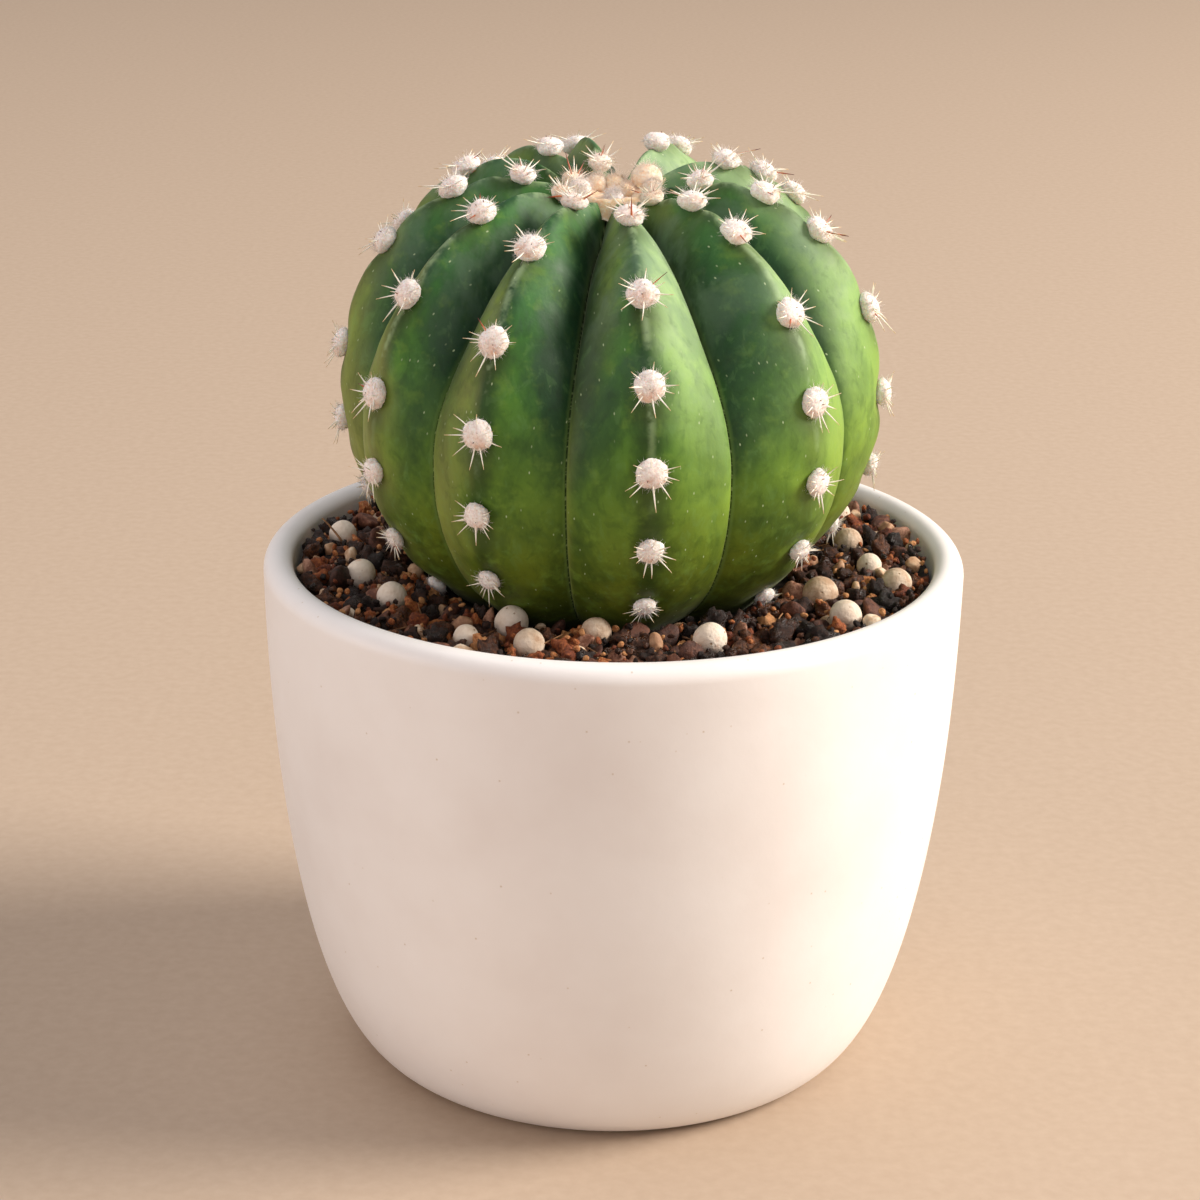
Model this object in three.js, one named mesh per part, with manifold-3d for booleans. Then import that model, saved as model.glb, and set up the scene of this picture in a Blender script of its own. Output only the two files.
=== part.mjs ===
// A domino cactus growing in a white ceramic pot.
// Three pieces: the pot, the gritty potting mix that fills it, and the cactus with its root.
// Millimetres, +Z up. The origin is the middle of the pot's foot, and -Y is the front.

import * as THREE from "three";
import { mergeVertices } from "three/addons/utils/BufferGeometryUtils.js";
import Module from "manifold-3d";

const wasm = await Module();
wasm.setup();

// Pot: a 100 mm planter whose wall runs down almost straight and turns in to a small foot.
const POT_HEIGHT = 76;
const RIM_RADIUS = 50;
const FOOT_RADIUS = 33;
const WALL_HANDLE = 42; // how far down the rim's upright direction is felt
const FOOT_HANDLE = 10; // how far out the foot's level direction is felt
const WALL = 4.2;
const FLOOR = 6;
const LIP_ROUND = 2.4; // of the lip's outer edge, and the rest of the wall rounds its inner one
const LIP_BLEND = 2; // the wall curve stops this far below the lip's rounding
const FLOOR_BEVEL = 5;
const RECESS_RADIUS = 27;
const RECESS_HEIGHT = 1.2;
const DRAIN_RADIUS = 5;
const POT_SIDES = 48;
const OUTER_STEPS = 9;
const INNER_STEPS = 8;
const LIP_STEPS = 3;

// Potting mix: its level is a little under the rim.
const MIX_LEVEL = 73.2;
const CLEARANCE = 0.3; // between the mix and the pot, and the mix and the cactus
const GRAIN_RADIUS = 2.3;
const GRAIN_SIZES = [0.7, 1.3]; // smallest and largest, to that radius
const GRAIN_COUNT = 420;
const GRAIN_RELIEF = 1.5;
const EDGE_DROP = 0.6; // the mix has settled by this much at the wall
const MIX_WALL_STEPS = 7;
const MIX_FOOT_BEVEL = 6;
const MIX_RINGS = 9;
const RING_STEP = 2.6;
const BOWL_SIDES = 33;
const HOLLOW_GAP = 0.45; // round the plant, between facets that don't follow each other
const PAD_GAP = 0.5;
const PAD_REACH = 7; // pads up to this far over the mix are cleared from it

// Round pale pellets lying in the mix: bearing from the front, distance from the middle, diameter.
const FRONT_PELLETS = [
  [-59, 35.5, 4.2],
  [-30, 38.8, 3.4],
  [-26, 31, 4.6],
  [-17, 37.6, 4.2],
  [-4, 31.5, 4.2],
  [21, 36, 4.6],
  [53, 39.5, 4.4],
  [62, 32.5, 5],
  [-76, 36.6, 4.2],
  [-102, 40.6, 4],
  [75, 41, 4.4],
  [85, 36.6, 3.6],
];
const SPARE_PELLETS = 9; // the others, drawn at random behind
const SPARE_BEARINGS = [100, 250];
const SPARE_SCATTER = 8;
const SPARE_DISTANCES = [31, 42];
const SPARE_SIZES = [0.8, 1.1];
const PELLET_DIAMETER = 4.3;
const PELLET_STAND = 0.9; // height of a pellet's middle above the mix

// Cactus: a flattened globe that leans a little to the front, with a sunken crown.
const BODY_RADIUS = 37.6;
const BODY_ABOVE = 33.6; // from the widest level to where the top would close without its hollow
const BODY_BELOW = 32.8;
const SQUARENESS_ABOVE = 2.36;
const SQUARENESS_BELOW = 2.02;
const BODY_PLACE = new THREE.Vector3(-0.7, -0.8, 98.1);
const LEAN = THREE.MathUtils.degToRad(7.8);
const CROWN_DEPTH = 6.2;
const CROWN_WIDTH = 11;
const CROWN_SETBACK = 4.5; // the growing point sits behind the middle
const ROWS = 20;
const CREST_STEPS = 2000;

// Ribs, from the front one round to the right: the bearing of the crest from the front, and where its
// upper areoles sit, as lengths along the crest from the widest level.
const RIBS = [
  { bearing: 8.4, upper: [5.3, 16.2, 27.9, 41.4] },
  { bearing: 46.6, upper: [10.2, 21.9, 34.6, 42.6, 50] },
  { bearing: 84, upper: [2.7, 15, 27.6, 36.4, 45.2] },
  { bearing: 118, upper: [9, 19, 27, 33, 39.5] },
  { bearing: 157, upper: [2.6, 13, 23, 33, 41.5] },
  { bearing: -168, upper: [9.5, 20, 31, 49] },
  { bearing: -143, upper: [2.6, 14, 27, 42.5] },
  { bearing: -117, upper: [7.5, 20, 34, 51.5] },
  { bearing: -90, upper: [7.5, 23.5, 35.4, 45] },
  { bearing: -57, upper: [8.6, 22.2, 36.5, 49.4] },
  { bearing: -27, upper: [8.5, 20.2, 33.6, 46] },
];
const FURROW_AT_TOP = 8.8;
const FURROW_AT_MIDDLE = 3.1;
const FURROW_AT_BASE = 1.7;
const FURROW_DEEPENS = [2, 27]; // heights between which the furrow goes from middle to top depth
const FURROW_FADES = [-30, -4]; // and from base to middle depth
const FURROW_CLOSES = 11; // radius round the crown in which the furrows run out
const KEEL_SHARE = 0.55; // part of the fall from crest to furrow that is a straight slope
const KEEL_SOFTNESS = 0.08;
const FLANK_BULGE = 2.8; // higher keeps the flanks full for longer, with a tighter furrow
const RIB_STATIONS = [-1, -0.84, -0.46, 0, 0.46, 0.84]; // -1 is the furrow, 0 the crest

// Areoles: a pad of white wool every 11 mm or so along each crest, with short spines.
const AREOLE_PITCH = 11; // below the upper ones
const WOOL_RADIUS = 2.3;
const WOOL_STAND = 0.35;
const WOOL_FLATNESS = 0.68;
const WOOL_SIDES = 6;
const WOOL_RINGS = 4;
const YOUNG_WOOL = 0.8; // size of the pads in the crown, to a full-grown one
const YOUNG_LENGTHS = [37, 52]; // along the crest, from where they shrink to where they are smallest
const OLD_WOOL = 0.76; // and of the worn ones low down
const OLD_LENGTHS = [-20, 10]; // from where they are smallest to where they are full-grown
const LOWEST_WOOL = 74.2; // pads below this level are under the mix
const SPINE_LENGTH = 4.6; // from the middle of the pad
const SPINE_RADIUS = 0.36;
const SPINE_BEARINGS = [0, 90, 180, 270]; // from straight down the rib
const SPINE_RISE = THREE.MathUtils.degToRad(22);
const SPINE_ROOT = 0.4; // where a spine starts inside the wool, of the wool's radius
const SPINE_TIP_STAND = 1; // height of a spine's tip above the skin
const SPINE_FREE = 2.6; // and the least above the mix
const UPPER_SPINE = 0.6; // length of the spine that points up the rib, to the one that points down

// Crown wool: a soft mound over the growing point with round tufts in it. A tuft is given by its place
// to the right of the growing point and behind it, and its radius.
const CROWN_TUFTS = [
  [-2.1, 2.4, 1.6],
  [0.4, 2.6, 1.7],
  [4.7, 2.8, 2.15],
  [5.4, -1.6, 1.35],
  [0.2, -2.9, 1.4],
  [-4.4, -0.8, 1.6],
  [1.6, 0.2, 1.5],
];
const CROWN_MOUND = 5.4;
const MOUND_HEIGHT = 1.9;
const MOUND_SIDES = 9;
const TUFT_SIDES = 5;
const TUFT_STAND = 0.7; // height of a tuft's middle above the growing point
const HOLLOW_RISE = 0.05; // how the hollow's floor rises with the square of the distance

// Root: one tapering taproot under the globe.
const ROOT_RADIUS = 9;
const ROOT_WAIST_RADIUS = 5; // halfway down
const ROOT_TIP_RADIUS = 1.6;
const ROOT_POINT = 1.5; // length of the point at its end
const ROOT_TOP = -29;
const ROOT_TIP = -64;
const ROOT_SIDES = 12;

// A seeded random number from 0 to 1.
function randomFrom(seed) {
  let state = seed;
  return () => {
    state = (Math.imul(state, 1664525) + 1013904223) >>> 0;
    return state / 4294967296;
  };
}

const between = ([low, high], share) => low + (high - low) * share;
const smooth = (x, low, high) => THREE.MathUtils.smoothstep(x, low, high);
const radians = THREE.MathUtils.degToRad;

// A closed three.js geometry as a solid for joining and cutting.
function solidOf(geometry, matrix) {
  const bare = geometry.clone();
  bare.deleteAttribute("normal");
  bare.deleteAttribute("uv");
  if (matrix) bare.applyMatrix4(matrix);
  const merged = mergeVertices(bare, 1e-4);
  const mesh = new wasm.Mesh({
    numProp: 3,
    vertProperties: merged.attributes.position.array,
    triVerts: new Uint32Array(merged.index.array),
  });
  return new wasm.Manifold(mesh);
}

function geometryOf(solid) {
  const mesh = solid.getMesh();
  const geometry = new THREE.BufferGeometry();
  geometry.setAttribute("position", new THREE.BufferAttribute(mesh.vertProperties, 3));
  geometry.setIndex(new THREE.BufferAttribute(mesh.triVerts, 1));
  const flat = geometry.toNonIndexed();
  flat.computeVertexNormals();
  return flat;
}

// A profile of [radius, height] points turned about +Z.
function turned(profile, sides) {
  const points = profile.map(([radius, height]) => new THREE.Vector2(radius, height));
  return new THREE.LatheGeometry(points, sides).rotateX(Math.PI / 2);
}

// Points of a quarter turn from one heading to another, both in degrees, about a centre.
function arc(centreRadius, centreHeight, radius, from, to, steps) {
  return Array.from({ length: steps + 1 }, (_, i) => {
    const angle = radians(from + ((to - from) * i) / steps);
    return [centreRadius + radius * Math.cos(angle), centreHeight + radius * Math.sin(angle)];
  });
}

// Pot. The wall is one curve from the rim to the foot, and its inside is the same curve moved in.
const wallCurve = new THREE.CubicBezierCurve(
  new THREE.Vector2(FOOT_RADIUS, 0),
  new THREE.Vector2(FOOT_RADIUS + FOOT_HANDLE, 0),
  new THREE.Vector2(RIM_RADIUS, POT_HEIGHT - WALL_HANDLE),
  new THREE.Vector2(RIM_RADIUS, POT_HEIGHT),
);

function outerWall(steps) {
  return wallCurve
    .getPoints(steps)
    .filter((p) => p.y < POT_HEIGHT - LIP_ROUND - LIP_BLEND)
    .map((p) => [p.x, p.y]);
}

// The wall curve moved inwards by a distance, from under the rim down to a level.
function innerWall(distance, steps, lowest, highest) {
  return Array.from({ length: steps + 1 }, (_, i) => {
    const t = 1 - i / steps;
    const point = wallCurve.getPoint(t);
    const along = wallCurve.getTangent(t);
    return [point.x - along.y * distance, point.y + along.x * distance];
  }).filter(([, height]) => height > lowest && height < highest);
}

function potGeometry() {
  const innerRound = WALL - LIP_ROUND;
  const lipMiddle = RIM_RADIUS - LIP_ROUND;
  const inner = innerWall(WALL, INNER_STEPS, FLOOR + 1, POT_HEIGHT - LIP_ROUND - 2 * LIP_BLEND);
  const floorEdge = inner[inner.length - 1][0] - FLOOR_BEVEL;
  const profile = [
    [DRAIN_RADIUS, RECESS_HEIGHT],
    [RECESS_RADIUS, RECESS_HEIGHT],
    [RECESS_RADIUS + RECESS_HEIGHT, 0],
    ...outerWall(OUTER_STEPS),
    ...arc(lipMiddle, POT_HEIGHT - LIP_ROUND, LIP_ROUND, 0, 90, LIP_STEPS),
    ...arc(lipMiddle, POT_HEIGHT - innerRound, innerRound, 90, 180, LIP_STEPS).slice(1),
    ...inner,
    [floorEdge, FLOOR],
    [DRAIN_RADIUS, FLOOR],
    [DRAIN_RADIUS, RECESS_HEIGHT],
  ];
  return turned(profile, POT_SIDES);
}

// The crest line of the globe: radius and height for a station from -1, underneath, to 1, the crown.
function crestPoint(station) {
  const lift = Math.sin((station * Math.PI) / 2);
  const power = lift > 0 ? SQUARENESS_ABOVE : SQUARENESS_BELOW;
  const reach = lift > 0 ? BODY_ABOVE : BODY_BELOW;
  const radius = BODY_RADIUS * Math.pow(1 - Math.pow(Math.abs(lift), power), 1 / power);
  const hollow = lift > 0 ? CROWN_DEPTH * Math.exp(-((radius / CROWN_WIDTH) ** 2)) : 0;
  return { radius, height: reach * lift - hollow };
}

// Stations at even steps along the crest, with the length of the crest from the widest level.
function crestTable(steps) {
  const rows = [];
  let length = 0;
  let last = crestPoint(-1);
  for (let i = 0; i <= steps; i += 1) {
    const station = -1 + (2 * i) / steps;
    const point = crestPoint(station);
    length += Math.hypot(point.radius - last.radius, point.height - last.height);
    rows.push({ station, length, ...point });
    last = point;
  }
  const zero = rows[Math.round(steps / 2)].length;
  return rows.map((row) => ({ ...row, length: row.length - zero }));
}

const CREST = crestTable(CREST_STEPS);

function stationAt(length) {
  const row = CREST.find((candidate) => candidate.length >= length);
  return (row || CREST[CREST.length - 1]).station;
}

// The way out of the globe at a station, as [outwards, upwards].
function crestNormal(station) {
  const step = 0.002;
  const below = crestPoint(Math.max(station - step, -1));
  const above = crestPoint(Math.min(station + step, 1));
  const out = above.height - below.height;
  const up = below.radius - above.radius;
  const size = Math.hypot(out, up);
  return [out / size, up / size];
}

function furrowDepth(station) {
  const { radius, height } = crestPoint(station);
  const lower = FURROW_AT_MIDDLE - FURROW_AT_BASE;
  const upper = FURROW_AT_TOP - FURROW_AT_MIDDLE;
  const depth =
    FURROW_AT_BASE + lower * smooth(height, ...FURROW_FADES) + upper * smooth(height, ...FURROW_DEEPENS);
  return depth * smooth(radius, 0, FURROW_CLOSES);
}

// How far down a rib's section is, from 0 at the crest to 1 in the furrow: a soft keel with full flanks.
function ribFall(across) {
  const slope = (x) => Math.hypot(x, KEEL_SOFTNESS) - KEEL_SOFTNESS;
  const flank = 1 - Math.sqrt(1 - Math.abs(across) ** FLANK_BULGE);
  return (KEEL_SHARE * slope(across)) / slope(1) + (1 - KEEL_SHARE) * flank;
}

// A point of the skin: bearing in degrees from the front, station along the crest, across from -1 to 1.
function skinPoint(bearing, station, across) {
  const { radius, height } = crestPoint(station);
  const [out, up] = crestNormal(station);
  const fall = furrowDepth(station) * ribFall(across);
  const reach = Math.max(radius - out * fall, 0);
  const setback = station > 0 ? CROWN_SETBACK * Math.sqrt(1 - radius / BODY_RADIUS) : 0;
  const angle = radians(bearing);
  return new THREE.Vector3(
    reach * Math.sin(angle),
    setback - reach * Math.cos(angle),
    height - up * fall,
  );
}

// The columns of the skin, rib after rib: each has a bearing and its place across the rib.
function skinColumns() {
  return RIBS.flatMap(({ bearing }, i) => {
    const before = RIBS[(i + RIBS.length - 1) % RIBS.length].bearing;
    const after = RIBS[(i + 1) % RIBS.length].bearing;
    const halfBefore = ((bearing - before + 360) % 360) / 2;
    const halfAfter = ((after - bearing + 360) % 360) / 2;
    return RIB_STATIONS.map((across) => ({
      bearing: bearing + across * (across < 0 ? halfBefore : halfAfter),
      across,
    }));
  });
}

function skinGeometry() {
  const columns = skinColumns();
  const shortest = CREST[0].length;
  const longest = CREST[CREST.length - 1].length;
  const points = [skinPoint(0, -1, 0)];
  for (let row = 1; row < ROWS; row += 1) {
    const station = stationAt(shortest + ((longest - shortest) * row) / ROWS);
    columns.forEach(({ bearing, across }) => points.push(skinPoint(bearing, station, across)));
  }
  points.push(skinPoint(0, 1, 0));

  const n = columns.length;
  const last = points.length - 1;
  const at = (row, column) => 1 + (row - 1) * n + (column % n);
  const faces = [];
  for (let c = 0; c < n; c += 1) {
    faces.push(0, at(1, c + 1), at(1, c));
    faces.push(last, at(ROWS - 1, c), at(ROWS - 1, c + 1));
    for (let row = 1; row < ROWS - 1; row += 1) {
      faces.push(at(row, c), at(row, c + 1), at(row + 1, c + 1));
      faces.push(at(row, c), at(row + 1, c + 1), at(row + 1, c));
    }
  }
  const geometry = new THREE.BufferGeometry().setFromPoints(points);
  geometry.setIndex(faces);
  return geometry;
}

// Lengths along one crest at which its areoles sit: the upper ones, and the others below at their pitch.
function areoleLengths({ upper }) {
  const lengths = [...upper];
  for (let down = upper[0]; down > CREST[0].length / 2; down -= AREOLE_PITCH) {
    lengths.push(down - AREOLE_PITCH);
  }
  return lengths;
}

const plantPlace = new THREE.Matrix4().compose(
  BODY_PLACE,
  new THREE.Quaternion().setFromEuler(new THREE.Euler(LEAN, 0, 0)),
  new THREE.Vector3(1, 1, 1),
);

// Every areole: its place on the crest, the way it faces, and the way down the rib, on the plant.
function areoles() {
  return RIBS.flatMap((rib) =>
    areoleLengths(rib).map((length) => {
      const station = stationAt(length);
      const [out, up] = crestNormal(station);
      const angle = radians(rib.bearing);
      const outwards = new THREE.Vector3(Math.sin(angle), -Math.cos(angle), 0);
      const facing = outwards.clone().multiplyScalar(out).setZ(up);
      const down = outwards.clone().multiplyScalar(up).setZ(-out);
      const place = skinPoint(rib.bearing, station, 0);
      const old = (1 - OLD_WOOL) * (1 - smooth(length, ...OLD_LENGTHS));
      const young = (1 - YOUNG_WOOL) * smooth(length, ...YOUNG_LENGTHS);
      return { place, facing, down, size: WOOL_RADIUS * (1 - old - young) };
    }),
  ).filter(({ place }) => place.clone().applyMatrix4(plantPlace).z > LOWEST_WOOL);
}

function woolSolid({ place, facing, size }) {
  const ball = new THREE.SphereGeometry(size, WOOL_SIDES, WOOL_RINGS).rotateX(Math.PI / 2);
  ball.scale(1, 1, WOOL_FLATNESS);
  const turn = new THREE.Quaternion().setFromUnitVectors(new THREE.Vector3(0, 0, 1), facing);
  const middle = place.clone().addScaledVector(facing, WOOL_STAND);
  return solidOf(ball, new THREE.Matrix4().compose(middle, turn, new THREE.Vector3(1, 1, 1)));
}

function spineSolid({ place, facing, down, size }, bearing) {
  const side = new THREE.Vector3().crossVectors(facing, down);
  const angle = radians(bearing);
  const along = down.clone().multiplyScalar(Math.cos(angle)).addScaledVector(side, Math.sin(angle));
  along.multiplyScalar(Math.cos(SPINE_RISE)).addScaledVector(facing, Math.sin(SPINE_RISE)).normalize();
  const share = (1 + UPPER_SPINE + (1 - UPPER_SPINE) * Math.cos(angle)) / 2;
  const length = SPINE_LENGTH * share * (size / WOOL_RADIUS);
  const start = size * SPINE_ROOT;
  const needle = new THREE.ConeGeometry(SPINE_RADIUS, length - start, 3, 1);
  const turn = new THREE.Quaternion().setFromUnitVectors(new THREE.Vector3(0, 1, 0), along);
  const middle = place.clone().addScaledVector(along, (start + length) / 2);
  return solidOf(needle, new THREE.Matrix4().compose(middle, turn, new THREE.Vector3(1, 1, 1)));
}

// A spine is left off where its tip would reach into the mix.
function spineClear({ place, facing, down }, bearing) {
  const angle = radians(bearing);
  const tip = place.clone().addScaledVector(down, SPINE_LENGTH * Math.cos(angle));
  return tip.addScaledVector(facing, SPINE_TIP_STAND).applyMatrix4(plantPlace).z > MIX_LEVEL + SPINE_FREE;
}

function crownWool() {
  const growingPoint = skinPoint(0, 1, 0);
  const mound = new THREE.SphereGeometry(CROWN_MOUND, MOUND_SIDES, WOOL_RINGS).rotateX(Math.PI / 2);
  mound.scale(1, 1, MOUND_HEIGHT / CROWN_MOUND).translate(growingPoint.x, growingPoint.y, growingPoint.z);
  const tufts = CROWN_TUFTS.map(([right, back, radius]) =>
    new THREE.SphereGeometry(radius, TUFT_SIDES, WOOL_RINGS)
      .rotateX(Math.PI / 2)
      .translate(right, back, TUFT_STAND + HOLLOW_RISE * (right ** 2 + back ** 2))
      .translate(growingPoint.x, growingPoint.y, growingPoint.z),
  );
  return [mound, ...tufts].map((geometry) => solidOf(geometry));
}

function cactusSolid() {
  const root = turned(
    [
      [0, ROOT_TIP],
      [ROOT_TIP_RADIUS, ROOT_TIP + ROOT_POINT],
      [ROOT_WAIST_RADIUS, (ROOT_TIP + ROOT_TOP) / 2],
      [ROOT_RADIUS, ROOT_TOP],
      [0, ROOT_TOP],
    ],
    ROOT_SIDES,
  );
  const parts = [solidOf(skinGeometry()), solidOf(root), ...crownWool()];
  areoles().forEach((areole) => {
    parts.push(woolSolid(areole));
    SPINE_BEARINGS.filter((bearing) => spineClear(areole, bearing)).forEach((bearing) =>
      parts.push(spineSolid(areole, bearing)),
    );
  });
  return wasm.Manifold.union(parts);
}

// Potting mix. Its top is a bed of grains: each grain raises a rounded lump.
function grains() {
  const random = randomFrom(7);
  return Array.from({ length: GRAIN_COUNT }, () => {
    const radius = Math.sqrt(random()) * (RIM_RADIUS - WALL);
    const angle = random() * Math.PI * 2;
    const size = GRAIN_RADIUS * between(GRAIN_SIZES, random());
    return [radius * Math.sin(angle), -radius * Math.cos(angle), size];
  });
}

const GRAINS = grains();

function mixHeight(x, y) {
  const lumps = GRAINS.map(([gx, gy, size]) => 1 - ((x - gx) ** 2 + (y - gy) ** 2) / size ** 2);
  return MIX_LEVEL - GRAIN_RELIEF / 2 + GRAIN_RELIEF * Math.sqrt(Math.max(0, ...lumps));
}

function mixGeometry() {
  const wall = innerWall(WALL + CLEARANCE, MIX_WALL_STEPS, FLOOR + 2, MIX_LEVEL - 2).reverse();
  const topRadius = RIM_RADIUS - WALL - CLEARANCE - 0.1;
  const floor = FLOOR + CLEARANCE;
  const floorRadius = wall[0][0] - MIX_FOOT_BEVEL;
  const sides = POT_SIDES;
  const rings = [[floorRadius, () => floor], ...wall.map(([radius, height]) => [radius, () => height])];
  for (let ring = 0; ring < MIX_RINGS; ring += 1) {
    const radius = topRadius - ring * RING_STEP;
    rings.push([radius, (x, y) => (ring === 0 ? MIX_LEVEL - EDGE_DROP : mixHeight(x, y))]);
  }
  const points = [new THREE.Vector3(0, 0, floor)];
  rings.forEach(([radius, height], index) => {
    for (let side = 0; side < sides; side += 1) {
      const angle = ((side + (index > wall.length + 1 && index % 2 ? 0.5 : 0)) / sides) * Math.PI * 2;
      const x = radius * Math.cos(angle);
      const y = radius * Math.sin(angle);
      points.push(new THREE.Vector3(x, y, height(x, y)));
    }
  });
  points.push(new THREE.Vector3(0, 0, MIX_LEVEL));

  const last = points.length - 1;
  const at = (ring, side) => 1 + ring * sides + (side % sides);
  const faces = [];
  for (let side = 0; side < sides; side += 1) {
    faces.push(0, at(0, side + 1), at(0, side));
    faces.push(last, at(rings.length - 1, side), at(rings.length - 1, side + 1));
    for (let ring = 0; ring < rings.length - 1; ring += 1) {
      faces.push(at(ring, side), at(ring, side + 1), at(ring + 1, side + 1));
      faces.push(at(ring, side), at(ring + 1, side + 1), at(ring + 1, side));
    }
  }
  const geometry = new THREE.BufferGeometry().setFromPoints(points);
  geometry.setIndex(faces);
  return geometry;
}

// The pellets: those that show at the front, and spare ones drawn at random behind.
function pellets() {
  const random = randomFrom(23);
  const spare = Array.from({ length: SPARE_PELLETS }, (_, i) => [
    between(SPARE_BEARINGS, i / SPARE_PELLETS) + random() * SPARE_SCATTER,
    between(SPARE_DISTANCES, random()),
    PELLET_DIAMETER * between(SPARE_SIZES, random()),
  ]);
  return [...FRONT_PELLETS, ...spare].map(([bearing, distance, diameter]) => {
    const angle = radians(bearing);
    return solidOf(
      new THREE.SphereGeometry(diameter / 2, WOOL_SIDES, WOOL_RINGS)
        .rotateX(Math.PI / 2)
        .translate(distance * Math.sin(angle), -distance * Math.cos(angle), MIX_LEVEL + PELLET_STAND),
    );
  });
}

// What the mix leaves free: the globe's underside, the root and the lowest pads, each with its clearance.
function plantHollow() {
  const grown = HOLLOW_GAP;
  const profile = CREST.filter((row, i) => i % 80 === 0 && row.station <= 0.05).map(({ station }) => {
    const { radius, height } = crestPoint(station);
    const [out, up] = crestNormal(station);
    return [Math.max(radius + out * grown, 0), height + up * grown];
  });
  profile[0] = [0, -BODY_BELOW - grown];
  const bowl = turned([...profile, [0, profile[profile.length - 1][1]]], BOWL_SIDES);
  const rootHole = turned(
    [
      [0, ROOT_TIP - grown],
      [ROOT_TIP_RADIUS + grown, ROOT_TIP - grown],
      [ROOT_TIP_RADIUS + grown * 2, ROOT_TIP + ROOT_POINT],
      [ROOT_WAIST_RADIUS + grown, (ROOT_TIP + ROOT_TOP) / 2],
      [ROOT_RADIUS + grown, ROOT_TOP],
      [0, ROOT_TOP],
    ],
    ROOT_SIDES,
  );
  const nearPads = areoles()
    .filter(({ place }) => place.clone().applyMatrix4(plantPlace).z < MIX_LEVEL + PAD_REACH)
    .map(({ place, facing, size }) => {
      const ball = new THREE.SphereGeometry(size + PAD_GAP, 8, 6);
      const middle = place.clone().addScaledVector(facing, WOOL_STAND);
      return solidOf(ball.translate(middle.x, middle.y, middle.z), plantPlace);
    });
  return wasm.Manifold.union([solidOf(bowl, plantPlace), solidOf(rootHole, plantPlace), ...nearPads]);
}

function mixSolid() {
  return wasm.Manifold.union([solidOf(mixGeometry()), ...pellets()]).subtract(plantHollow());
}

const glazedWhite = new THREE.MeshStandardMaterial({ color: 0xf1ebe5, roughness: 0.5, metalness: 0 });
const grittyBrown = new THREE.MeshStandardMaterial({ color: 0x4a2f22, roughness: 0.9, metalness: 0 });
const cactusGreen = new THREE.MeshStandardMaterial({ color: 0x3f6b2c, roughness: 0.55, metalness: 0 });

function named(name, geometry, material) {
  const mesh = new THREE.Mesh(geometry, material);
  mesh.name = name;
  return mesh;
}

const plant = new THREE.Group();
plant.position.copy(BODY_PLACE);
plant.rotation.x = LEAN;
plant.add(named("cactus", geometryOf(cactusSolid()), cactusGreen));

const pottedCactus = new THREE.Group();
pottedCactus.add(named("pot", potGeometry(), glazedWhite));
pottedCactus.add(named("potting_mix", geometryOf(mixSolid()), grittyBrown));
pottedCactus.add(plant);

export default pottedCactus;
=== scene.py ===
# A domino cactus in a white ceramic pot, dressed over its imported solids.
# The numbers below are millimetres, and the meshes are built in metres. The origin is the middle of
# the pot's foot, +Z is up and -Y is the front. A bearing is an angle from the front, round to the right.

import math
from functools import partial

import bmesh
import bpy
import numpy as np
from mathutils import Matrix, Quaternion, Vector, noise


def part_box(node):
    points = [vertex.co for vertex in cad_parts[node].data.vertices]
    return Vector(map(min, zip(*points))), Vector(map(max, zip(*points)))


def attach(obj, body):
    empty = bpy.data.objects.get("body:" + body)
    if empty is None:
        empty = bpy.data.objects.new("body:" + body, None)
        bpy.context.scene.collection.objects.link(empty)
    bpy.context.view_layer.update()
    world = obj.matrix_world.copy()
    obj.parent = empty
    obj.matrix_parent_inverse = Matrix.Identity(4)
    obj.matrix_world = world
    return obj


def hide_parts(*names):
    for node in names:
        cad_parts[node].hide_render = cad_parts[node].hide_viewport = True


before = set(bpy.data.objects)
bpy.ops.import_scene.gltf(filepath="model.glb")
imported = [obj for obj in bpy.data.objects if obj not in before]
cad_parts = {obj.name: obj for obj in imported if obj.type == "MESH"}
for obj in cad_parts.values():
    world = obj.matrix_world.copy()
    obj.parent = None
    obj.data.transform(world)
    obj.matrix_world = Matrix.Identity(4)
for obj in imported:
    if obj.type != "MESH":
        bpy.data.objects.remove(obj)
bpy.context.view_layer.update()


# Pot: slip-cast white earthenware under a satin glaze, 100 mm across the rim. The lip is rounded by
# hand with a sponge, and the ring it stands on is wiped bare of glaze before the firing. The mix
# fills it to 4 mm below the rim.
MM = 0.001
POT_HEIGHT = 76
RIM_RADIUS = 50
FOOT_RADIUS = 33
WALL_HANDLE = 42
FOOT_HANDLE = 10
WALL = 4.2
FLOOR = 6
LIP_ROUND = 2.4
LIP_BLEND = 2
LIP_STEPS = 9
FLOOR_BEVEL = 5
FLOOR_STEPS = 8
RECESS_RADIUS = 27
RECESS_HEIGHT = 1.2
DRAIN_RADIUS = 5
POT_SIDES = 160
WALL_STEPS = 48
CAST_UNEVENNESS = 0.07


def linear(hex_colour):
    shares = [int(hex_colour[i:i + 2], 16) / 255 for i in (1, 3, 5)]
    return [s / 12.92 if s <= 0.04045 else ((s + 0.055) / 1.055) ** 2.4 for s in shares] + [1.0]


# Starts a finish: its material, what adds a node to it, and the places that its patterns go by.
def start_finish(name):
    finish = bpy.data.materials.new(name)
    finish.use_nodes = True
    finish.node_tree.nodes.clear()
    node = partial(add_node, finish.node_tree)
    return finish, node, node("TexCoord").outputs["Object"]


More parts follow.
